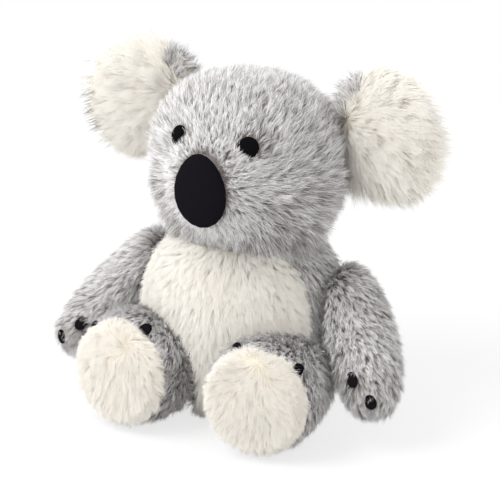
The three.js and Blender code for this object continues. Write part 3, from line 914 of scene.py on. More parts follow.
def eased(values: Points, low: float, high: float) -> Points:
    """Goes smoothly from 0 at low to 1 at high."""
    share = np.clip((values - low) / (high - low), 0, 1)
    return share * share * (3 - 2 * share)


def up_from(start: float, values: Points, low: float, high: float) -> Points:
    """Goes smoothly from a starting share at low to 1 at high."""
    return start + (1 - start) * eased(values, low, high)


def towards(out: Points, directions: Points) -> Points:
    """The cosine between normals and directions."""
    return np.sum(out * unit(directions), axis=1)


def facing(out: Points, directions: Points) -> Points:
    """How much of the surface to cover: all but what faces away from a direction."""
    return eased(towards(out, directions), *TURNED_AWAY)


def from_axis(at: Points) -> Points:
    """The level way from the body's upright axis to each point."""
    return np.column_stack([at[:, 0], at[:, 1] - BODY_CENTRE_Y, np.zeros(len(at))])


def hanging(at: Points) -> Points:
    """Down, spread a little from the body's axis."""
    return DOWN + from_axis(at) / HANGING_SPREAD


def sideways(x: Points) -> Points:
    """Vectors along X of the given lengths."""
    return np.column_stack([x, np.zeros((len(x), 2))])


def middle(node: str) -> Points:
    """The middle of a CAD node's box, in millimetres."""
    low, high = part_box(node)
    return np.array((low + high) / 2) / MM


def round_claws(at: Points, claws: list[str]) -> tuple[Points, Points]:
    """Shortens the pile round claws, and clears it under them.

    Args:
        at: The backing's points.
        claws: The claws' CAD nodes.

    Returns:
        The pile's length and cover at each point, as shares.
    """
    long, cover = np.ones(len(at)), np.ones(len(at))
    for claw in claws:
        near = lengths(at - middle(claw))
        long = np.minimum(long, up_from(SHORTEST_BY_CLAW, near, *SHORT_BY_CLAW))
        cover = np.minimum(cover, eased(near, *CLEAR_OF_CLAW))
    return long, cover


def put(
    name: str,
    mesh: bpy.types.Mesh,
    body: str,
    material: bpy.types.Material | None = None,
) -> bpy.types.Object:
    """Adds a finished mesh to the scene as a piece that rides on a body.

    Args:
        name: The piece's name.
        mesh: Its mesh.
        body: The body that it rides on.
        material: Its material, if the mesh has none yet.

    Returns:
        The piece.
    """
    piece = bpy.data.objects.new(name, mesh)
    bpy.context.scene.collection.objects.link(piece)
    if material:
        mesh.materials.clear()
        mesh.materials.append(material)
    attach(piece, body)
    return piece


class Palette(dict):
    """The materials, each made when it is first asked for."""

    def __missing__(self, finish: PileFinish | GrainedFinish) -> bpy.types.Material:
        """Makes a finish's material."""
        self[finish] = finish.material()
        return self[finish]


@dataclass
class StuffedForm:
    """A sewn and stuffed form with a pile, which rides on one body."""

    name: str
    node: str  # the CAD solid that it stands for
    body: str
    slot: str = "grey_fur"
    finish: PileFinish = GREY_PLUSH
    backing: ClothFinish = GREY_BACKING
    pile: Pile = GREY_PILE
    voxel: float = 2.5
    smoothing: int = 12
    inset: float = 5.0  # how deep the backing stands under a full pile
    fill: float = 0.75
    stuffed: bool = True
    backed: bool = True  # or only more pile, on a backing that another form has made

    def comb(self, at: Points, out: Points) -> Comb:
        """Says how the pile lies: hanging, unless a form says otherwise."""
        return Comb(along_surface(np.tile(DOWN, (len(at), 1)), out))

    def shaped(self, at: Points, out: Points) -> Points:
        """Shapes the backing before it is set in: not at all, unless a form does."""
        return at

    def make(self, frame: dict, strands: StrandTree, palette: Palette) -> None:
        """Builds the backing and its pile.

        Args:
            frame: The loaded CAD frame.
            strands: The tree that grows fibres.
            palette: The materials.
        """
        skin = rounded(self.node, frame, self.voxel, self.smoothing)
        moved(skin, self.shaped(*corners(skin)))
        at, out = corners(skin)
        stored = self.comb(at, out).stored()
        depth = self.inset * eased(stored["cover"], 0.0, 0.3) * np.minimum(stored["long"], 1) ** 2
        moved(skin, at - out * depth[:, None])
        for name, values in stored.items():
            attribute = skin.attributes.new(name, strands.KINDS[name], "POINT")
            part = "vector" if values.ndim == 2 else "value"
            attribute.data.foreach_set(part, values.astype(np.float32).ravel())
        area = sum(p.area for p in skin.polygons) / MM**2
        fibres = area * self.pile.per_mm2 * float(np.mean(stored["cover"]))
        meshes = max(1, math.ceil(fibres * (2 * self.pile.rows - 3) / MOST_TRIANGLES))
        for i in range(meshes):
            grown = strands.grow(skin, self.pile, palette[self.finish], i, 1 / meshes)
            put(f"{self.name}_pile_{i + 1}", grown, self.body)
        LOG.info("%s: %d mm2, about %d fibres in %d meshes", self.name, area, fibres, meshes)
        if not self.backed:
            return
        for name in stored:
            skin.attributes.remove(skin.attributes[name])
        base = put(f"{self.name}_backing", skin, self.body, palette[self.backing])
        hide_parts(self.node)


@dataclass
class Head(StuffedForm):
    """The head: its pile is parted at the nose and swept back over the skull."""

    name: str = "head"
    node: str = "head"
    body: str = "head"
    finish: PileFinish = FLECKED_PLUSH
    pile: Pile = HEAD_PILE
    smoothing: int = 40
    inset: float = 5.5
    nose_half: tuple[float, float] = (25.0, 33.0)  # half of the nose's width and height
    nose_clear: Band = (0.86, 0.98)  # shares of the way to the nose's edge
    nose_standing: Band = (0.95, 1.35)  # where the pile stands up and hides that edge
    nose_short: Band = (1.1, 2.3)
    nose_pale: Band = (1.2, 2.6)
    muzzle_y: float = -40.0  # the nose counts in front of this
    brow: Band = (-25.0, 30.0)  # above the nose's middle, where the pile turns up
    rise: float = 0.9  # how much it does
    around: Band = (30.0, 90.0)  # from the nose, where the pile lies as on the skull
    back_y: Band = (0.0, 55.0)
    neck: Band = (28.0, 32.0)
    cheek_z: Band = (240.0, 190.0)
    cheek_x: Band = (10.0, 40.0)
    beside: Band = (32.0, 66.0)  # from the nose, where the cheeks are
    chin_z: Band = (185.0, 158.0)
    chin_y: Band = (30.0, 0.0)
    # The crown, where the pile's shade is raised as painted light on the top of the head.
    crown_z: Band = (262.0, 288.0)
    crown_y: Band = (-10.0, 30.0)
    hang: tuple[float, float, float] = (0.0, -0.45, -0.9)  # of the chin's pile
    short: float = 0.6  # share of the length beside the nose
    eye_short: float = 0.42
    longer: tuple[float, float] = (0.2, 0.6)  # on the cheeks, and under the chin
    uncombed: float = 0.6  # how much less the standing pile is combed
    least_lift: float = 0.6
    more_lift: float = 0.5  # near the nose, and on the skull
    # The fibres' shade is raised by the nose, lowered on the cheeks as painted shade, and raised
    # on the crown as painted light.
    tones: tuple[float, float, float] = (0.45, -0.45, 0.3)  # by the nose, on cheeks and crown
    eyes: tuple[tuple[Side, float, float], ...] = (  # how far each is bare, and how far inward
        (Side.LEFT, 9.0, 0.0),
        (Side.RIGHT, 6.5, 3.5),
    )

    def comb(self, at: Points, out: Points) -> Comb:
        """Sweeps the pile away from the nose, short beside the nose and eyes.

        Args:
            at: The backing's points.
            out: Their normals.

        Returns:
            How the pile lies there.
        """
        x, y, z = at.T
        nose = middle("nose")
        away = at - nose
        reach = lengths(away)
        rising = self.rise * eased(away[:, 2], *self.brow) * eased(reach, *self.around)
        behind = eased(y, *self.back_y)[:, None]
        sweep = (1 - behind) * (unit(away) - np.outer(rising, DOWN)) + behind * DOWN
        half_width, half_height = self.nose_half
        rim = np.hypot(away[:, 0] / half_width, away[:, 2] / half_height)  # 1 on the nose's edge
        rim[y >= self.muzzle_y] = np.inf
        long = up_from(self.short, rim, *self.nose_short)
        neck = lengths(at - middle("neck_core"))
        cover = np.minimum(eased(rim, *self.nose_clear), eased(neck, *self.neck))
        for side, bare, inward in self.eyes:
            eye = middle(f"eye_{side.word}") - [inward * side.value, 0.0, 0.0]
            near = lengths(at - eye)
            long = np.minimum(long, up_from(self.eye_short, near, bare, bare + 10))
            cover = np.minimum(cover, eased(near, bare, bare + 2))
        cheeks = eased(z, *self.cheek_z) * eased(np.abs(x), *self.cheek_x)
        cheeks = cheeks * eased(reach, *self.beside)
        crown = eased(z, *self.crown_z) * eased(y, *self.crown_y)
        chin = eased(z, *self.chin_z) * eased(y, *self.chin_y)
        near_nose = 1 - eased(rim, *self.nose_pale)
        standing = 1 - eased(rim, *self.nose_standing)
        direction = along_surface(sweep, out) * (1 - chin[:, None]) + np.outer(chin, self.hang)
        on_cheeks, under_chin = self.longer
        lifted = np.maximum(eased(reach, *self.around), near_nose)
        return Comb(
            unit(direction) * (1 - self.uncombed * standing[:, None]),
            long * (1 + on_cheeks * cheeks + under_chin * chin),
            cover,
            self.least_lift + self.more_lift * lifted,
            # painted shade on the cheeks and painted light on the crown, besides paler pile by the
            # nose
            np.column_stack([near_nose, cheeks, crown]) @ self.tones,
        )


@dataclass
class Ear(StuffedForm):
    """One half of an ear, with its pile fanned out from the ear's root."""

    side: Side = Side.LEFT
    front: bool = True
    fill: float = 0.4
    voxel: float = 2.0
    inset: float = 3.0
    rim: float = 7.0  # how far the rim is drawn in, so that the pile ends where the ear does
    radius: float = 50.0
    depth_counts: float = 0.25  # how much depth counts in the way from the middle
    free: Band = (66.0, 100.0)  # from the head outwards, where the rim is drawn in
    root: tuple[float, float, float] = (-38.0, -6.0, -8.0)  # from a left ear's middle
    inside: Band = (12.0, 42.0)  # from the ear's middle towards the head
    upper: Band = (0.0, 30.0)  # above the ear's middle
    grown: Band = (5.0, 50.0)  # from the root, where the pile gets its full length
    rooted: Band = (30.0, 5.0)  # from the root, where it stands up
    seam: Band = (70.0, 76.0)  # where the ivory pile starts
    # Where the grey root pile ends, which partly paints shade into the crease by the head.
    grey_end: Band = (72.0, 78.0)
    seam_slant: float = 18.0
    drop: tuple[float, float] = (0.22, 0.9)  # of the fan, and more on the low inner part
    lean: float = 0.12  # of the fan, out of the ear's plane
    outward: float = 0.5  # of the ivory pile, away from the head
    inward: float = 0.9  # of the grey pile at the root, towards it
    short: float = 0.62  # share of the length at the root
    longer: float = 0.45  # on the low inner part
    least_lift: float = 0.7
    more_lift: float = 0.5

    def shaped(self, at: Points, out: Points) -> Points:
        """Draws the rim in towards the middle, but not where the ear meets the head.

        Args:
            at: The backing's points.
            out: Their normals.

        Returns:
            The points' new places.
        """
        away = (at - middle(f"ear_{self.side.word}_front")) * [1, self.depth_counts, 1]
        free = eased(at[:, 0] * self.side.value, *self.free)
        drawn = free * self.rim * np.minimum(lengths(away) / self.radius, 1.1)
        return at - unit(away) * drawn[:, None]

    def comb(self, at: Points, out: Points) -> Comb:
        """Fans the pile out from a point low on the ear's inner edge.

        Args:
            at: The backing's points.
            out: Their normals.

        Returns:
            How the pile lies there.
        """
        ear, sign = middle(f"ear_{self.side.word}_front"), self.side.value
        away = at - ear - np.array(self.root) * [sign, 1, 1]
        reach = lengths(away)
        inner = eased((ear[0] - at[:, 0]) * sign, *self.inside)
        high = eased(at[:, 2] - ear[2], *self.upper)
        low_inner = inner * (1 - high)
        ahead = AHEAD * (1 if self.front else -1)
        least, more = self.drop
        fan = unit(away) + np.outer(least + more * low_inner, DOWN) + self.lean * ahead
        aside = self.outward * (1 - inner) if self.backed else -self.inward * inner * high
        fan[:, 0] += sign * aside
        cover = facing(out, ahead)
        edge = at[:, 0] * sign - self.seam_slant * high
        if self.front:
            # The grey root pile covers the front's root band, partly as painted shade in the
            # crease by the head.
            cover *= eased(edge, *self.seam) if self.backed else 1 - eased(edge, *self.grey_end)
        return Comb(
            along_surface(fan, out),
            up_from(self.short, reach, *self.grown) + self.longer * low_inner,
            cover,
            self.least_lift + self.more_lift * eased(reach, *self.rooted),
        )


@dataclass
class Body(StuffedForm):
    """The body with the room for its door: the pile hangs and spreads over the seat."""

    name: str = "body"
    node: str = "body_back"
    body: str = "body"
    smoothing: int = 4
    height: float = 184.0
    half_width: float = 91.0
    half_depth: float = 80.0
    shoulder: float = 0.9
    fullness: float = 2.4
    widest: float = 0.42  # share of the height
    belly_z: float = 92.0
    belly_half: tuple[float, float] = (74.0, 86.0)  # half the belly's width and height
    belly_rim: Band = (0.9, 1.0)  # shares of those halves
    seat: Band = (1.5, 6.0)  # above the floor
    skin: Band = (0.94, 0.985)  # shares of the way out, where the outside starts

    def share_out(self, at: Points) -> Points:
        """Finds how far out each point lies.

        Args:
            at: The points.

        Returns:
            Shares from 0 on the body's axis to 1 on its surface.
        """
        t = np.clip((at[:, 2] + 0.5) / (self.height + 0.5), 0.001, 0.999)
        bias = math.log(0.5) / math.log(self.widest)
        swell = (1 - np.abs(2 * t**bias - 1) ** self.fullness) ** (1 / self.fullness)
        taper = swell * (1 + (self.shoulder - 1) * t)
        across, deep, _ = from_axis(at).T / taper
        return np.hypot(across / self.half_width, deep / self.half_depth)

    def comb(self, at: Points, out: Points) -> Comb:
        """Hangs the pile, and leaves the inside, the seat and the belly bare.

        Args:
            at: The backing's points.
            out: Their normals.

        Returns:
            How the pile lies there.
        """
        x, y, z = at.T
        half_width, half_height = self.belly_half
        rim = np.hypot(x / half_width, (z - self.belly_z) / half_height)
        belly = eased(rim, *self.belly_rim)
        cover = eased(self.share_out(at), *self.skin) * eased(z, *self.seat)
        return Comb(along_surface(hanging(at), out), cover=cover * np.where(y < 0, belly, 1.0))


@dataclass
class IvoryForm(StuffedForm):
    """A panel of ivory plush, thin, so that its backing is made finely."""

    slot: str = "white_fur"
    finish: PileFinish = IVORY_PLUSH
    backing: ClothFinish = IVORY_BACKING
    voxel: float = 1.5
    smoothing: int = 2
    inset: float = 1.0


@dataclass
class Belly(IvoryForm):
    """The ivory panel down the front."""

    name: str = "belly"
    node: str = "belly_panel"
    body: str = "body"
    pile: Pile = BELLY_PILE
    top: Band = (140.0, 153.0)
    centre_z: float = 85.0
    half: tuple[float, float] = (70.0, 80.0)  # half of the width and height
    sides: Band = (0.75, 1.0)  # shares of those halves
    lap_z: float = 60.0  # the pile isn't splayed below this, between the legs
    spread: float = 110.0  # how far from the middle it would slant by 45 degrees
    side_spread: float = 1.5  # how much more it is splayed at the sides
    side_lift: float = 0.5
    top_ahead: float = 1.2  # how far it leans out under the chin
    top_drop: float = 0.5  # how much less it hangs there
    top_short: float = 0.2
    top_lift: float = 0.9

    def comb(self, at: Points, out: Points) -> Comb:
        """Hangs the pile, splayed over the seam at the sides and the top.

        Args:
            at: The backing's points.
            out: Their normals.

        Returns:
            How the pile lies there.
        """
        x, _, z = at.T
        ahead = from_axis(at)
        top = eased(z, *self.top)
        rim = np.hypot(x / self.half[0], (z - self.centre_z) / self.half[1])
        side = eased(rim, *self.sides) * (z > self.lap_z)
        splay = sideways(x / self.spread * (1 + self.side_spread * side))
        hang = np.outer(1 - self.top_drop * top, DOWN) + splay
        return Comb(
            along_surface(hang + self.top_ahead * unit(ahead) * top[:, None], out),
            1 - self.top_short * top,
            facing(out, ahead),
            1 + self.top_lift * top + self.side_lift * side,
        )


@dataclass
class Arm(StuffedForm):
    """An arm, with its pile combed down to the hand."""

    pile: Pile = ARM_PILE
    side: Side = Side.LEFT
    upper_z: Band = (40.0, 110.0)
    upper_way: tuple[float, float, float] = (0.7, -0.1, -0.75)  # on the left arm
    lower_way: tuple[float, float, float] = (0.35, -0.6, -0.6)

    def comb(self, at: Points, out: Points) -> Comb:
        """Combs the pile down the arm, and thins it round the claws.

        Args:
            at: The backing's points.
            out: Their normals.

        Returns:
            How the pile lies there.
        """
        high = eased(at[:, 2], *self.upper_z)
        down_arm = np.outer(high, self.upper_way) + np.outer(1 - high, self.lower_way)
        claws = [f"hand_{self.side.word}_claw_{claw}" for claw in ("inner", "tip")]
        down_arm = down_arm * [self.side.value, 1, 1]
        return Comb(along_surface(down_arm, out), *round_claws(at, claws))


@dataclass
class Leg(StuffedForm):
    """A leg, with its pile combed down and towards the sole."""

    pile: Pile = LEG_PILE
    side: Side = Side.LEFT
    toes: Band = (32.0, 12.0)  # behind the sole's middle
    shin_way: tuple[float, float, float] = (0.0, -0.55, -0.6)
    toe_way: tuple[float, float, float] = (0.0, -1.0, -0.25)
    spread: float = 60.0  # how far from the leg's middle it would slant by 45 degrees
    facing_up: Band = (0.2, 0.8)  # cosines over which the leg's top starts
    # Painted light: the pile's shade is raised where the leg faces up.
    top_tone: float = 0.4
    foot_tone: float = 0.5  # painted light, more on the top of the foot
    foot: Band = (30.0, 8.0)  # behind the sole's middle
    flat: float = 0.4  # how much lower the pile lies over the foot
    sole_depth: float = 14.0
    sole_radius: float = 42.0
    seat: Band = (1.0, 4.0)  # above the floor

    def comb(self, at: Points, out: Points) -> Comb:
        """Combs the pile forward over the foot, and leaves the sole and the seat bare.

        Args:
            at: The backing's points.
            out: Their normals.

        Returns:
            How the pile lies there.
        """
        x, y, z = (at - middle(f"sole_{self.side.word}")).T
        top = eased(out[:, 2], *self.facing_up)
        forward = np.maximum(eased(y, *self.toes), top)
        way = np.outer(1 - forward, self.shin_way) + np.outer(forward, self.toe_way)
        claws = [f"foot_{self.side.word}_claw_{claw}" for claw in ("inner", "outer")]
        long, cover = round_claws(at, claws)
        bare = (y < self.sole_depth) & (np.hypot(x, z) < self.sole_radius)
        return Comb(
            along_surface(way + sideways(x / self.spread * (1 - forward)), out),
            long,
            np.minimum(cover, np.where(bare, 0.0, 1.0) * eased(at[:, 2], *self.seat)),
            1 - self.flat * forward,
            # painted light on the upward-facing top of the leg and foot
            top * (self.top_tone + self.foot_tone * eased(y, *self.foot)),
        )


@dataclass
class Sole(IvoryForm):
    """The shaggy ivory sole of a foot."""

    pile: Pile = SOLE_PILE
    side: Side = Side.LEFT
    radius: float = 45.0
    rim: Band = (25.0, 45.0)
    drawn: float = 3.0  # how far the rim is drawn in
    short: float = 0.35  # how much shorter the pile is at the rim
    hang: float = 0.6  # the fan's source stands high, so that the pile hangs below it
    wander: float = 0.2  # how far it strays from the fan
    waves: tuple[float, float] = (7.0, 6.0)  # in Z and in X, in mm to a radian
    least_lift: float = 0.3  # at the source
    source: Band = (0.0, 0.8)  # lengths of the fan over which the pile gets its full lift
    tones: tuple[float, float] = (-0.85, 0.5)  # of the pile, and more where it is lifted

    def away(self, at: Points) -> Points:
        """The way from the sole's middle to each point, in the sole's plane."""
        return (at - middle(f"sole_{self.side.word}")) * [1.0, 0.0, 1.0]

    def shaped(self, at: Points, out: Points) -> Points:
        """Draws the rim in, so that the leg's pile frames the sole.

        Args:
            at: The backing's points.
            out: Their normals.

        Returns:
            The points' new places.
        """
        away = self.away(at)
        return at - unit(away) * self.drawn * eased(lengths(away), *self.rim)[:, None]

    def comb(self, at: Points, out: Points) -> Comb:
        """Fans the pile out to the rim from a point high on the sole, short near the seam.

        Args:
            at: The backing's points.
            out: Their normals.

        Returns:
            How the pile lies there.
        """
        x, _, z = at.T
        away = self.away(at)
        wave_z, wave_x = self.waves
        wander = np.column_stack([np.sin(z / wave_z), np.zeros(len(at)), np.sin(x / wave_x)])
        fan = away / self.radius + self.hang * DOWN + self.wander * wander
        lift = up_from(self.least_lift, lengths(fan), *self.source)
        tone, lifted_tone = self.tones
        return Comb(
            along_surface(fan, out),
            1 - self.short * eased(lengths(away), *self.rim),
            facing(out, AHEAD),
            lift,
            tone + lifted_tone * lift,
        )


@dataclass
class Flap(StuffedForm):
    """The door over the pocket: pile outside and plain cloth inside."""

    name: str = "back_flap"
    node: str = "back_flap"
    body: str = "flap"
    voxel: float = 2.2
    smoothing: int = 3
    inset: float = 4.0
    fill: float = 0.5
    outside: Band = (-0.1, 0.3)  # cosines over which the outside starts

    def comb(self, at: Points, out: Points) -> Comb:
        """Hangs the pile as on the body round it."""
        cover = eased(towards(out, from_axis(at)), *self.outside)
        return Comb(along_surface(hanging(at), out), cover=cover)


@dataclass
class Tape(StuffedForm):
    """A strip of hook or loop tape."""

    slot: str = "tape"
    finish: PileFinish = NYLON_HOOKS
    backing: ClothFinish = TAPE_WEAVE
    pile: Pile = HOOKS
    voxel: float = 0.7
    smoothing: int = 1
    inset: float = 0.0
    stuffed: bool = False
    outward: bool = True
    half_width: float = 3.8  # of the part that holds hooks or loops
    selvedge: float = 0.5  # how far in from there they stand close
    face: Band = (0.5, 0.7)  # cosines over which the working face starts

    def comb(self, at: Points, out: Points) -> Comb:
        """Stands the hooks or loops on the strip's working face, off its selvedges.

        Args:
            at: The backing's points.
            out: Their normals.

        Returns:
            How they lie there.
        """
        x = at[:, 0]
        inside = eased(self.half_width - np.abs(x - np.mean(x)), 0, self.selvedge)
        meets = towards(out, from_axis(at)) * (1 if self.outward else -1)
        comb = super().comb(at, out)
        return replace(comb, cover=eased(meets, *self.face) * inside)


@dataclass
class Piece:
    """A piece of one finish, which stands for one CAD solid and rides on a body."""

    node: str
    body: str
    slot: str
    finish: GrainedFinish
    kind: str = "moulding"  # how the piece's name ends
    fill: float = 0.0  # how firmly it is stuffed, if it is

    def shaped(self, frame: dict) -> bpy.types.Mesh:
        """Copies the solid."""
        return copied_solid(self.node, frame)

    def make(self, frame: dict, palette: Palette) -> None:
        """Shapes the piece and dresses it.

        Args:
            frame: The loaded CAD frame.
            palette: The materials.
        """
        mesh = self.shaped(frame)
        name = f"{self.node}_{self.kind}"
        piece = put(name, mesh, self.body, palette[self.finish])
        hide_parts(self.node)
        LOG.info("%s: %d faces", self.node, len(mesh.polygons))


@dataclass
class Patch(Piece):
    """A piece of plain cloth over a firm filling: the nose, an eye, a claw or the neck's core."""

    slot: str = "black_pad"
    finish: GrainedFinish = CLAW_FELT
    kind: str = "cover"
    voxel: float = 0.6
    smoothing: int = 6

    def shaped(self, frame: dict) -> bpy.types.Mesh:
        """Rounds the piece's solid."""
        return rounded(self.node, frame, self.voxel, self.smoothing)


@dataclass
class Lining(Piece):
    """The sewn lining of the pocket, with slack creases in its cloth."""

    node: str = "pouch_lining"
    body: str = "body"
    slot: str = "lining"
    finish: GrainedFinish = LINING_CLOTH
    kind: str = "cloth"
    facet: float = 4.0  # longest edge of the cloth's mesh
    cuts: int = 6
    crease: float = 0.7
    crease_spacing: float = 16.0
    seed: int = 3  # of the noise, which would else differ from run to run
    fold: float = 50.0  # an edge sharper than this, in degrees, is a sewn one

    def shaped(self, frame: dict) -> bpy.types.Mesh:
        """Cuts the solid finely and moves both faces of its cloth together.

        Args:
            frame: The loaded CAD frame.

        Returns:
            The creased mesh.
        """
        shape = bmesh.new()
        shape.from_mesh(copied_solid(self.node, frame))
        for _ in range(self.cuts):
            long = [e for e in shape.edges if e.calc_length() > self.facet * MM]
            bmesh.ops.subdivide_edges(shape, edges=long, cuts=1)
            bmesh.ops.triangulate(shape, faces=[f for f in shape.faces if len(f.verts) > 3])
        noise.seed_set(self.seed)
        for vert in shape.verts:
            vert.co += noise.noise_vector(vert.co / (self.crease_spacing * MM)) * self.crease * MM
        mesh = finished_mesh(self.node, shape)
        mesh.shade_smooth()
        mesh.set_sharp_from_angle(angle=math.radians(self.fold))
        return mesh


@dataclass
class Moulding(Piece):
    """A piece from a mould, with its edges eased."""

    edge: float = 0.3
    corner: float = 40.0  # an edge sharper than this, in degrees, is eased

    def shaped(self, frame: dict) -> bpy.types.Mesh:
        """Eases the edges of the solid.

        Args:
            frame: The loaded CAD frame.

        Returns:
            The eased mesh.
        """
        solid = copied_solid(self.node, frame)
        solid.shade_smooth()
        bevel = {
            "width": self.edge * MM,
            "segments": 2,
            "limit_method": "ANGLE",
            "angle_limit": math.radians(self.corner),
        }
        return with_modifiers(solid, ("BEVEL", bevel), ("WEIGHTED_NORMAL", {"keep_sharp": True}))


@dataclass
class BottleHalf(Piece):
    """One moulded half of the bottle, with grip ribs down its face."""

    ahead: int = 1  # the sign of the Y that its face looks along
    voxel: float = 1.3
    smoothing: int = 3
    rib_spacing: float = 6.0
    rib_height: float = 0.6
    ribbed_share: float = 0.72  # of the half's width and height
    fade: Band = (1.1, 0.85)  # where the ribs end and where they are full
    face: Band = (0.4, 0.7)  # cosines over which the face starts

    def shaped(self, frame: dict) -> bpy.types.Mesh:
        """Rounds the half and raises its ribs.

        Args:
            frame: The loaded CAD frame.

        Returns:
            The ribbed mesh.
        """
        mesh = rounded(self.node, frame, self.voxel, self.smoothing)
        at, out = corners(mesh)
        low, high = (np.array(corner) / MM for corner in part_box(self.node))
        reach = (at - (low + high) / 2) / ((high - low) / 2 * self.ribbed_share)
        inside = eased(reach[:, 0] ** 4 + reach[:, 2] ** 4, *self.fade)
        ribs = 0.5 + 0.5 * np.cos(2 * np.pi * at[:, 0] / self.rib_spacing)
        raised = self.rib_height * ribs * inside * eased(out[:, 1] * self.ahead, *self.face)
        moved(mesh, at + out * raised[:, None])
        return mesh


@dataclass(frozen=True)
class Lamp:
    """A square soft lamp that points at the koala."""

    name: str
    place: tuple[float, float, float]  # in metres
    size: float  # in metres
    power: float  # in watts

    def build(self, aim: Vector) -> None:
        """Adds the lamp.

        Args:
            aim: What it points at, in metres.
        """
        data = bpy.data.lights.new(self.name, "AREA")
        data.size, data.energy = self.size, self.power
        lamp = bpy.data.objects.new(self.name, data)
        lamp.location = self.place
        lamp.rotation_mode = "QUATERNION"
        lamp.rotation_quaternion = (aim - lamp.location).to_track_quat("-Z", "Y")
        bpy.context.scene.collection.objects.link(lamp)


@dataclass
class Studio:
    """The pale floor, the soft lamps and the camera at the photograph's angle."""

    azimuth: float = 27.7
    elevation: float = 21.5
    distance: float = 2500.0
    pixels_per_mm: float = 1.16
    frame_pixels: int = 500
    sensor: float = 36.0
    aim: tuple[float, float, float] = (0.0, 0.0, 150.0)
    aim_pixel: tuple[float, float] = (245.0, 238.0)
    lit: tuple[float, float, float] = (0.0, 0.0, 0.13)  # what the lamps point at, in metres
    ambient: float = 0.62
    floor_size: float = 6.0  # in metres
    floor_drop: float = 0.0005
    floor_grey: float = 0.93
    floor_glow: float = 0.75  # how far the camera sees the floor as plain white
    lamps: tuple[Lamp, ...] = (
        Lamp("key", (-0.85, -1.0, 1.55), 1.2, 35.0),
        Lamp("fill", (1.3, -0.9, 0.6), 1.2, 4.0),
        Lamp("back", (0.8, 1.6, 1.2), 1.6, 12.0),
    )

    def axes(self) -> tuple[Vector, Vector, Vector]:
        """Works out how the camera is turned.

        Returns:
            Its right, up and back directions.
        """
        a, e = math.radians(self.azimuth), math.radians(self.elevation)
        right = Vector((math.cos(a), math.sin(a), 0))
        back = Vector((math.sin(a) * math.cos(e), -math.cos(a) * math.cos(e), math.sin(e)))
        return right, back.cross(right), back

    def camera(self) -> None:
        """Makes the scene's camera."""
        right, up, back = self.axes()
        half = self.frame_pixels / 2
        shift = right * (half - self.aim_pixel[0]) + up * (self.aim_pixel[1] - half)
        place = (Vector(self.aim) + shift / self.pixels_per_mm + back * self.distance) * MM
        data = bpy.data.cameras.new("camera")
        data.sensor_width = self.sensor
        data.lens = self.sensor * self.pixels_per_mm * self.distance / self.frame_pixels
        camera = bpy.data.objects.new("camera", data)
        turn = Matrix((right, up, back)).transposed().to_4x4()
        camera.matrix_world = Matrix.Translation(place) @ turn
        bpy.context.scene.collection.objects.link(camera)
        bpy.context.scene.camera = camera

    def world(self) -> None:
        """Lights the room evenly, and shows it white to the camera."""
        world = bpy.data.worlds.new("studio")
        world.use_nodes = True
        tree = world.node_tree
        tree.nodes.clear()
        rays = add(tree, "ShaderNodeLightPath").outputs
        seen = rays["Is Camera Ray"]
        for other in ("Is Glossy Ray", "Is Transmission Ray"):
            seen = add(tree, MATH, (seen, rays[other]), operation="MAXIMUM").outputs[0]
        strengths = {"Value": seen, "To Min": self.ambient, "To Max": 1.0}
        strength = add(tree, "ShaderNodeMapRange", strengths)
        light = add(tree, "ShaderNodeBackground", {"Color": WHITE, "Strength": strength})
        add(tree, "ShaderNodeOutputWorld", {"Surface": light})
        bpy.context.scene.world = world

    def floor(self) -> None:
        """Lays a pale floor that keeps a soft shadow."""
        shape = bmesh.new()
        bmesh.ops.create_grid(shape, x_segments=1, y_segments=1, size=self.floor_size)
        mesh = finished_mesh("floor", shape)
        material = empty_material("white_paper_floor")
        tree = material.node_tree
        grey = (*[self.floor_grey] * 3, 1)
        paper = add(tree, "ShaderNodeBsdfPrincipled", {"Base Color": grey, "Roughness": 0.9})
        glow = add(tree, "ShaderNodeEmission", {"Color": WHITE, "Strength": 1.0})
        seen = add(tree, "ShaderNodeLightPath").outputs["Is Camera Ray"]
        share = add(tree, MATH, (seen, self.floor_glow), operation="MULTIPLY")
        mix = add(tree, "ShaderNodeMixShader", (share, paper, glow))
        add(tree, "ShaderNodeOutputMaterial", {"Surface": mix})
        mesh.materials.append(material)
        floor = bpy.data.objects.new("floor", mesh)
        floor.location.z = -self.floor_drop
        bpy.context.scene.collection.objects.link(floor)

    def build(self) -> None:
        """Sets up the studio."""
        bpy.context.scene.view_settings.view_transform = "Standard"
        self.camera()
        self.world()
        self.floor()
        for lamp in self.lamps:
            lamp.build(Vector(self.lit))


def ear_forms(side: Side) -> list[StuffedForm]:
    """Lists an ear's forms: its ivory front, the grey pile at the front's root, and its back.

    Args:
        side: Which ear.

    Returns:
        The forms.
    """
    body = f"ear_{side.word}"
    front, back = f"{body}_front", f"{body}_back"
    ivory = EAR_PILE if side is Side.LEFT else replace(EAR_PILE, length=22.0)
    return [
        Ear(front, front, body, "white_fur", IVORY_PLUSH, IVORY_BACKING, ivory, side=side),
        # The grey root pile stands for the ear back's grey fur where it shows, and is also painted
        # shade in the crease by the head.
        Ear(f"{body}_root", front, body, pile=EAR_ROOT_PILE, side=side, backed=False),
        Ear(back, back, body, pile=EAR_BACK_PILE, side=side, front=False, rim=8.5),
    ]


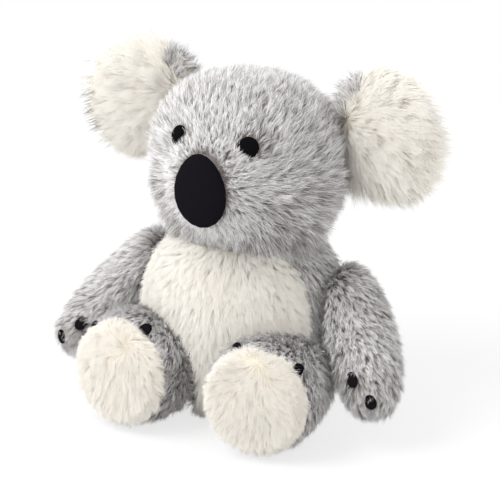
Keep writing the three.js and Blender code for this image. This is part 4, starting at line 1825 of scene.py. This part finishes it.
def stuffed_forms() -> list[StuffedForm]:
    """Lists the stuffed forms in the order in which they are made.

    Returns:
        The forms of the body and the head, then those of each side.
    """
    forms: list[StuffedForm] = [
        Head(),
        Body(),
        Belly(),
        Flap(),
        Tape("hook_tape", "hook_tape", "body"),
        Tape("loop_tape", "loop_tape", "flap", pile=LOOPS, outward=False),
    ]
    for side in Side:
        arm, leg, sole = (f"{limb}_{side.word}" for limb in ("arm", "leg", "sole"))
        forms += ear_forms(side)
        forms.append(Arm(arm, arm, arm, side=side))
        forms.append(Leg(leg, leg, leg, side=side))
        forms.append(Sole(sole, sole, leg, side=side))
    return forms


def patches() -> list[Patch]:
    """Lists the pieces of plain cloth.

    Returns:
        The nose and the neck's core, then the eye and the claws of each side.
    """
    made = [
        Patch("nose", "head", finish=NOSE_VELOUR, voxel=1.0),
        Patch("neck_core", "neck", "stuffing", CORE_CLOTH, fill=0.9, voxel=2.0),
    ]
    for side in Side:
        word = side.word
        made.append(Patch(f"eye_{word}", "head", finish=EYE_FELT))
        made += [Patch(f"hand_{word}_claw_{claw}", f"arm_{word}") for claw in ("inner", "tip")]
        made += [Patch(f"foot_{word}_claw_{claw}", f"leg_{word}") for claw in ("inner", "outer")]
    return made


def mouldings() -> list[Piece]:
    """Lists the bottle's pieces.

    Returns:
        The two halves, then what stands on them.
    """
    return [
        BottleHalf("bottle_front", "bottle", "rubber", RUBBER, ahead=-1),
        BottleHalf("bottle_back", "bottle", "rubber", RUBBER),
        Moulding("bottle_neck", "bottle", "rubber", RUBBER, edge=0.5),
        Moulding("neck_ferrule", "bottle", "ferrule", NYLON, edge=0.15),
        Moulding("stopper_washer", "washer", "rubber", RUBBER),
        Moulding("stopper", "stopper", "ferrule", NYLON),
    ]


def main() -> None:
    """Builds the koala round the frame."""
    logging.basicConfig(level=logging.INFO, format="%(message)s")
    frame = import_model()
    palette, strands = Palette(), StrandTree()
    for form in stuffed_forms():
        form.make(frame, strands, palette)
    for piece in [*patches(), Lining(), *mouldings()]:
        piece.make(frame, palette)
    Studio().build()
    LOG.info("koala dressed")


if __name__ == "__main__":
    main()
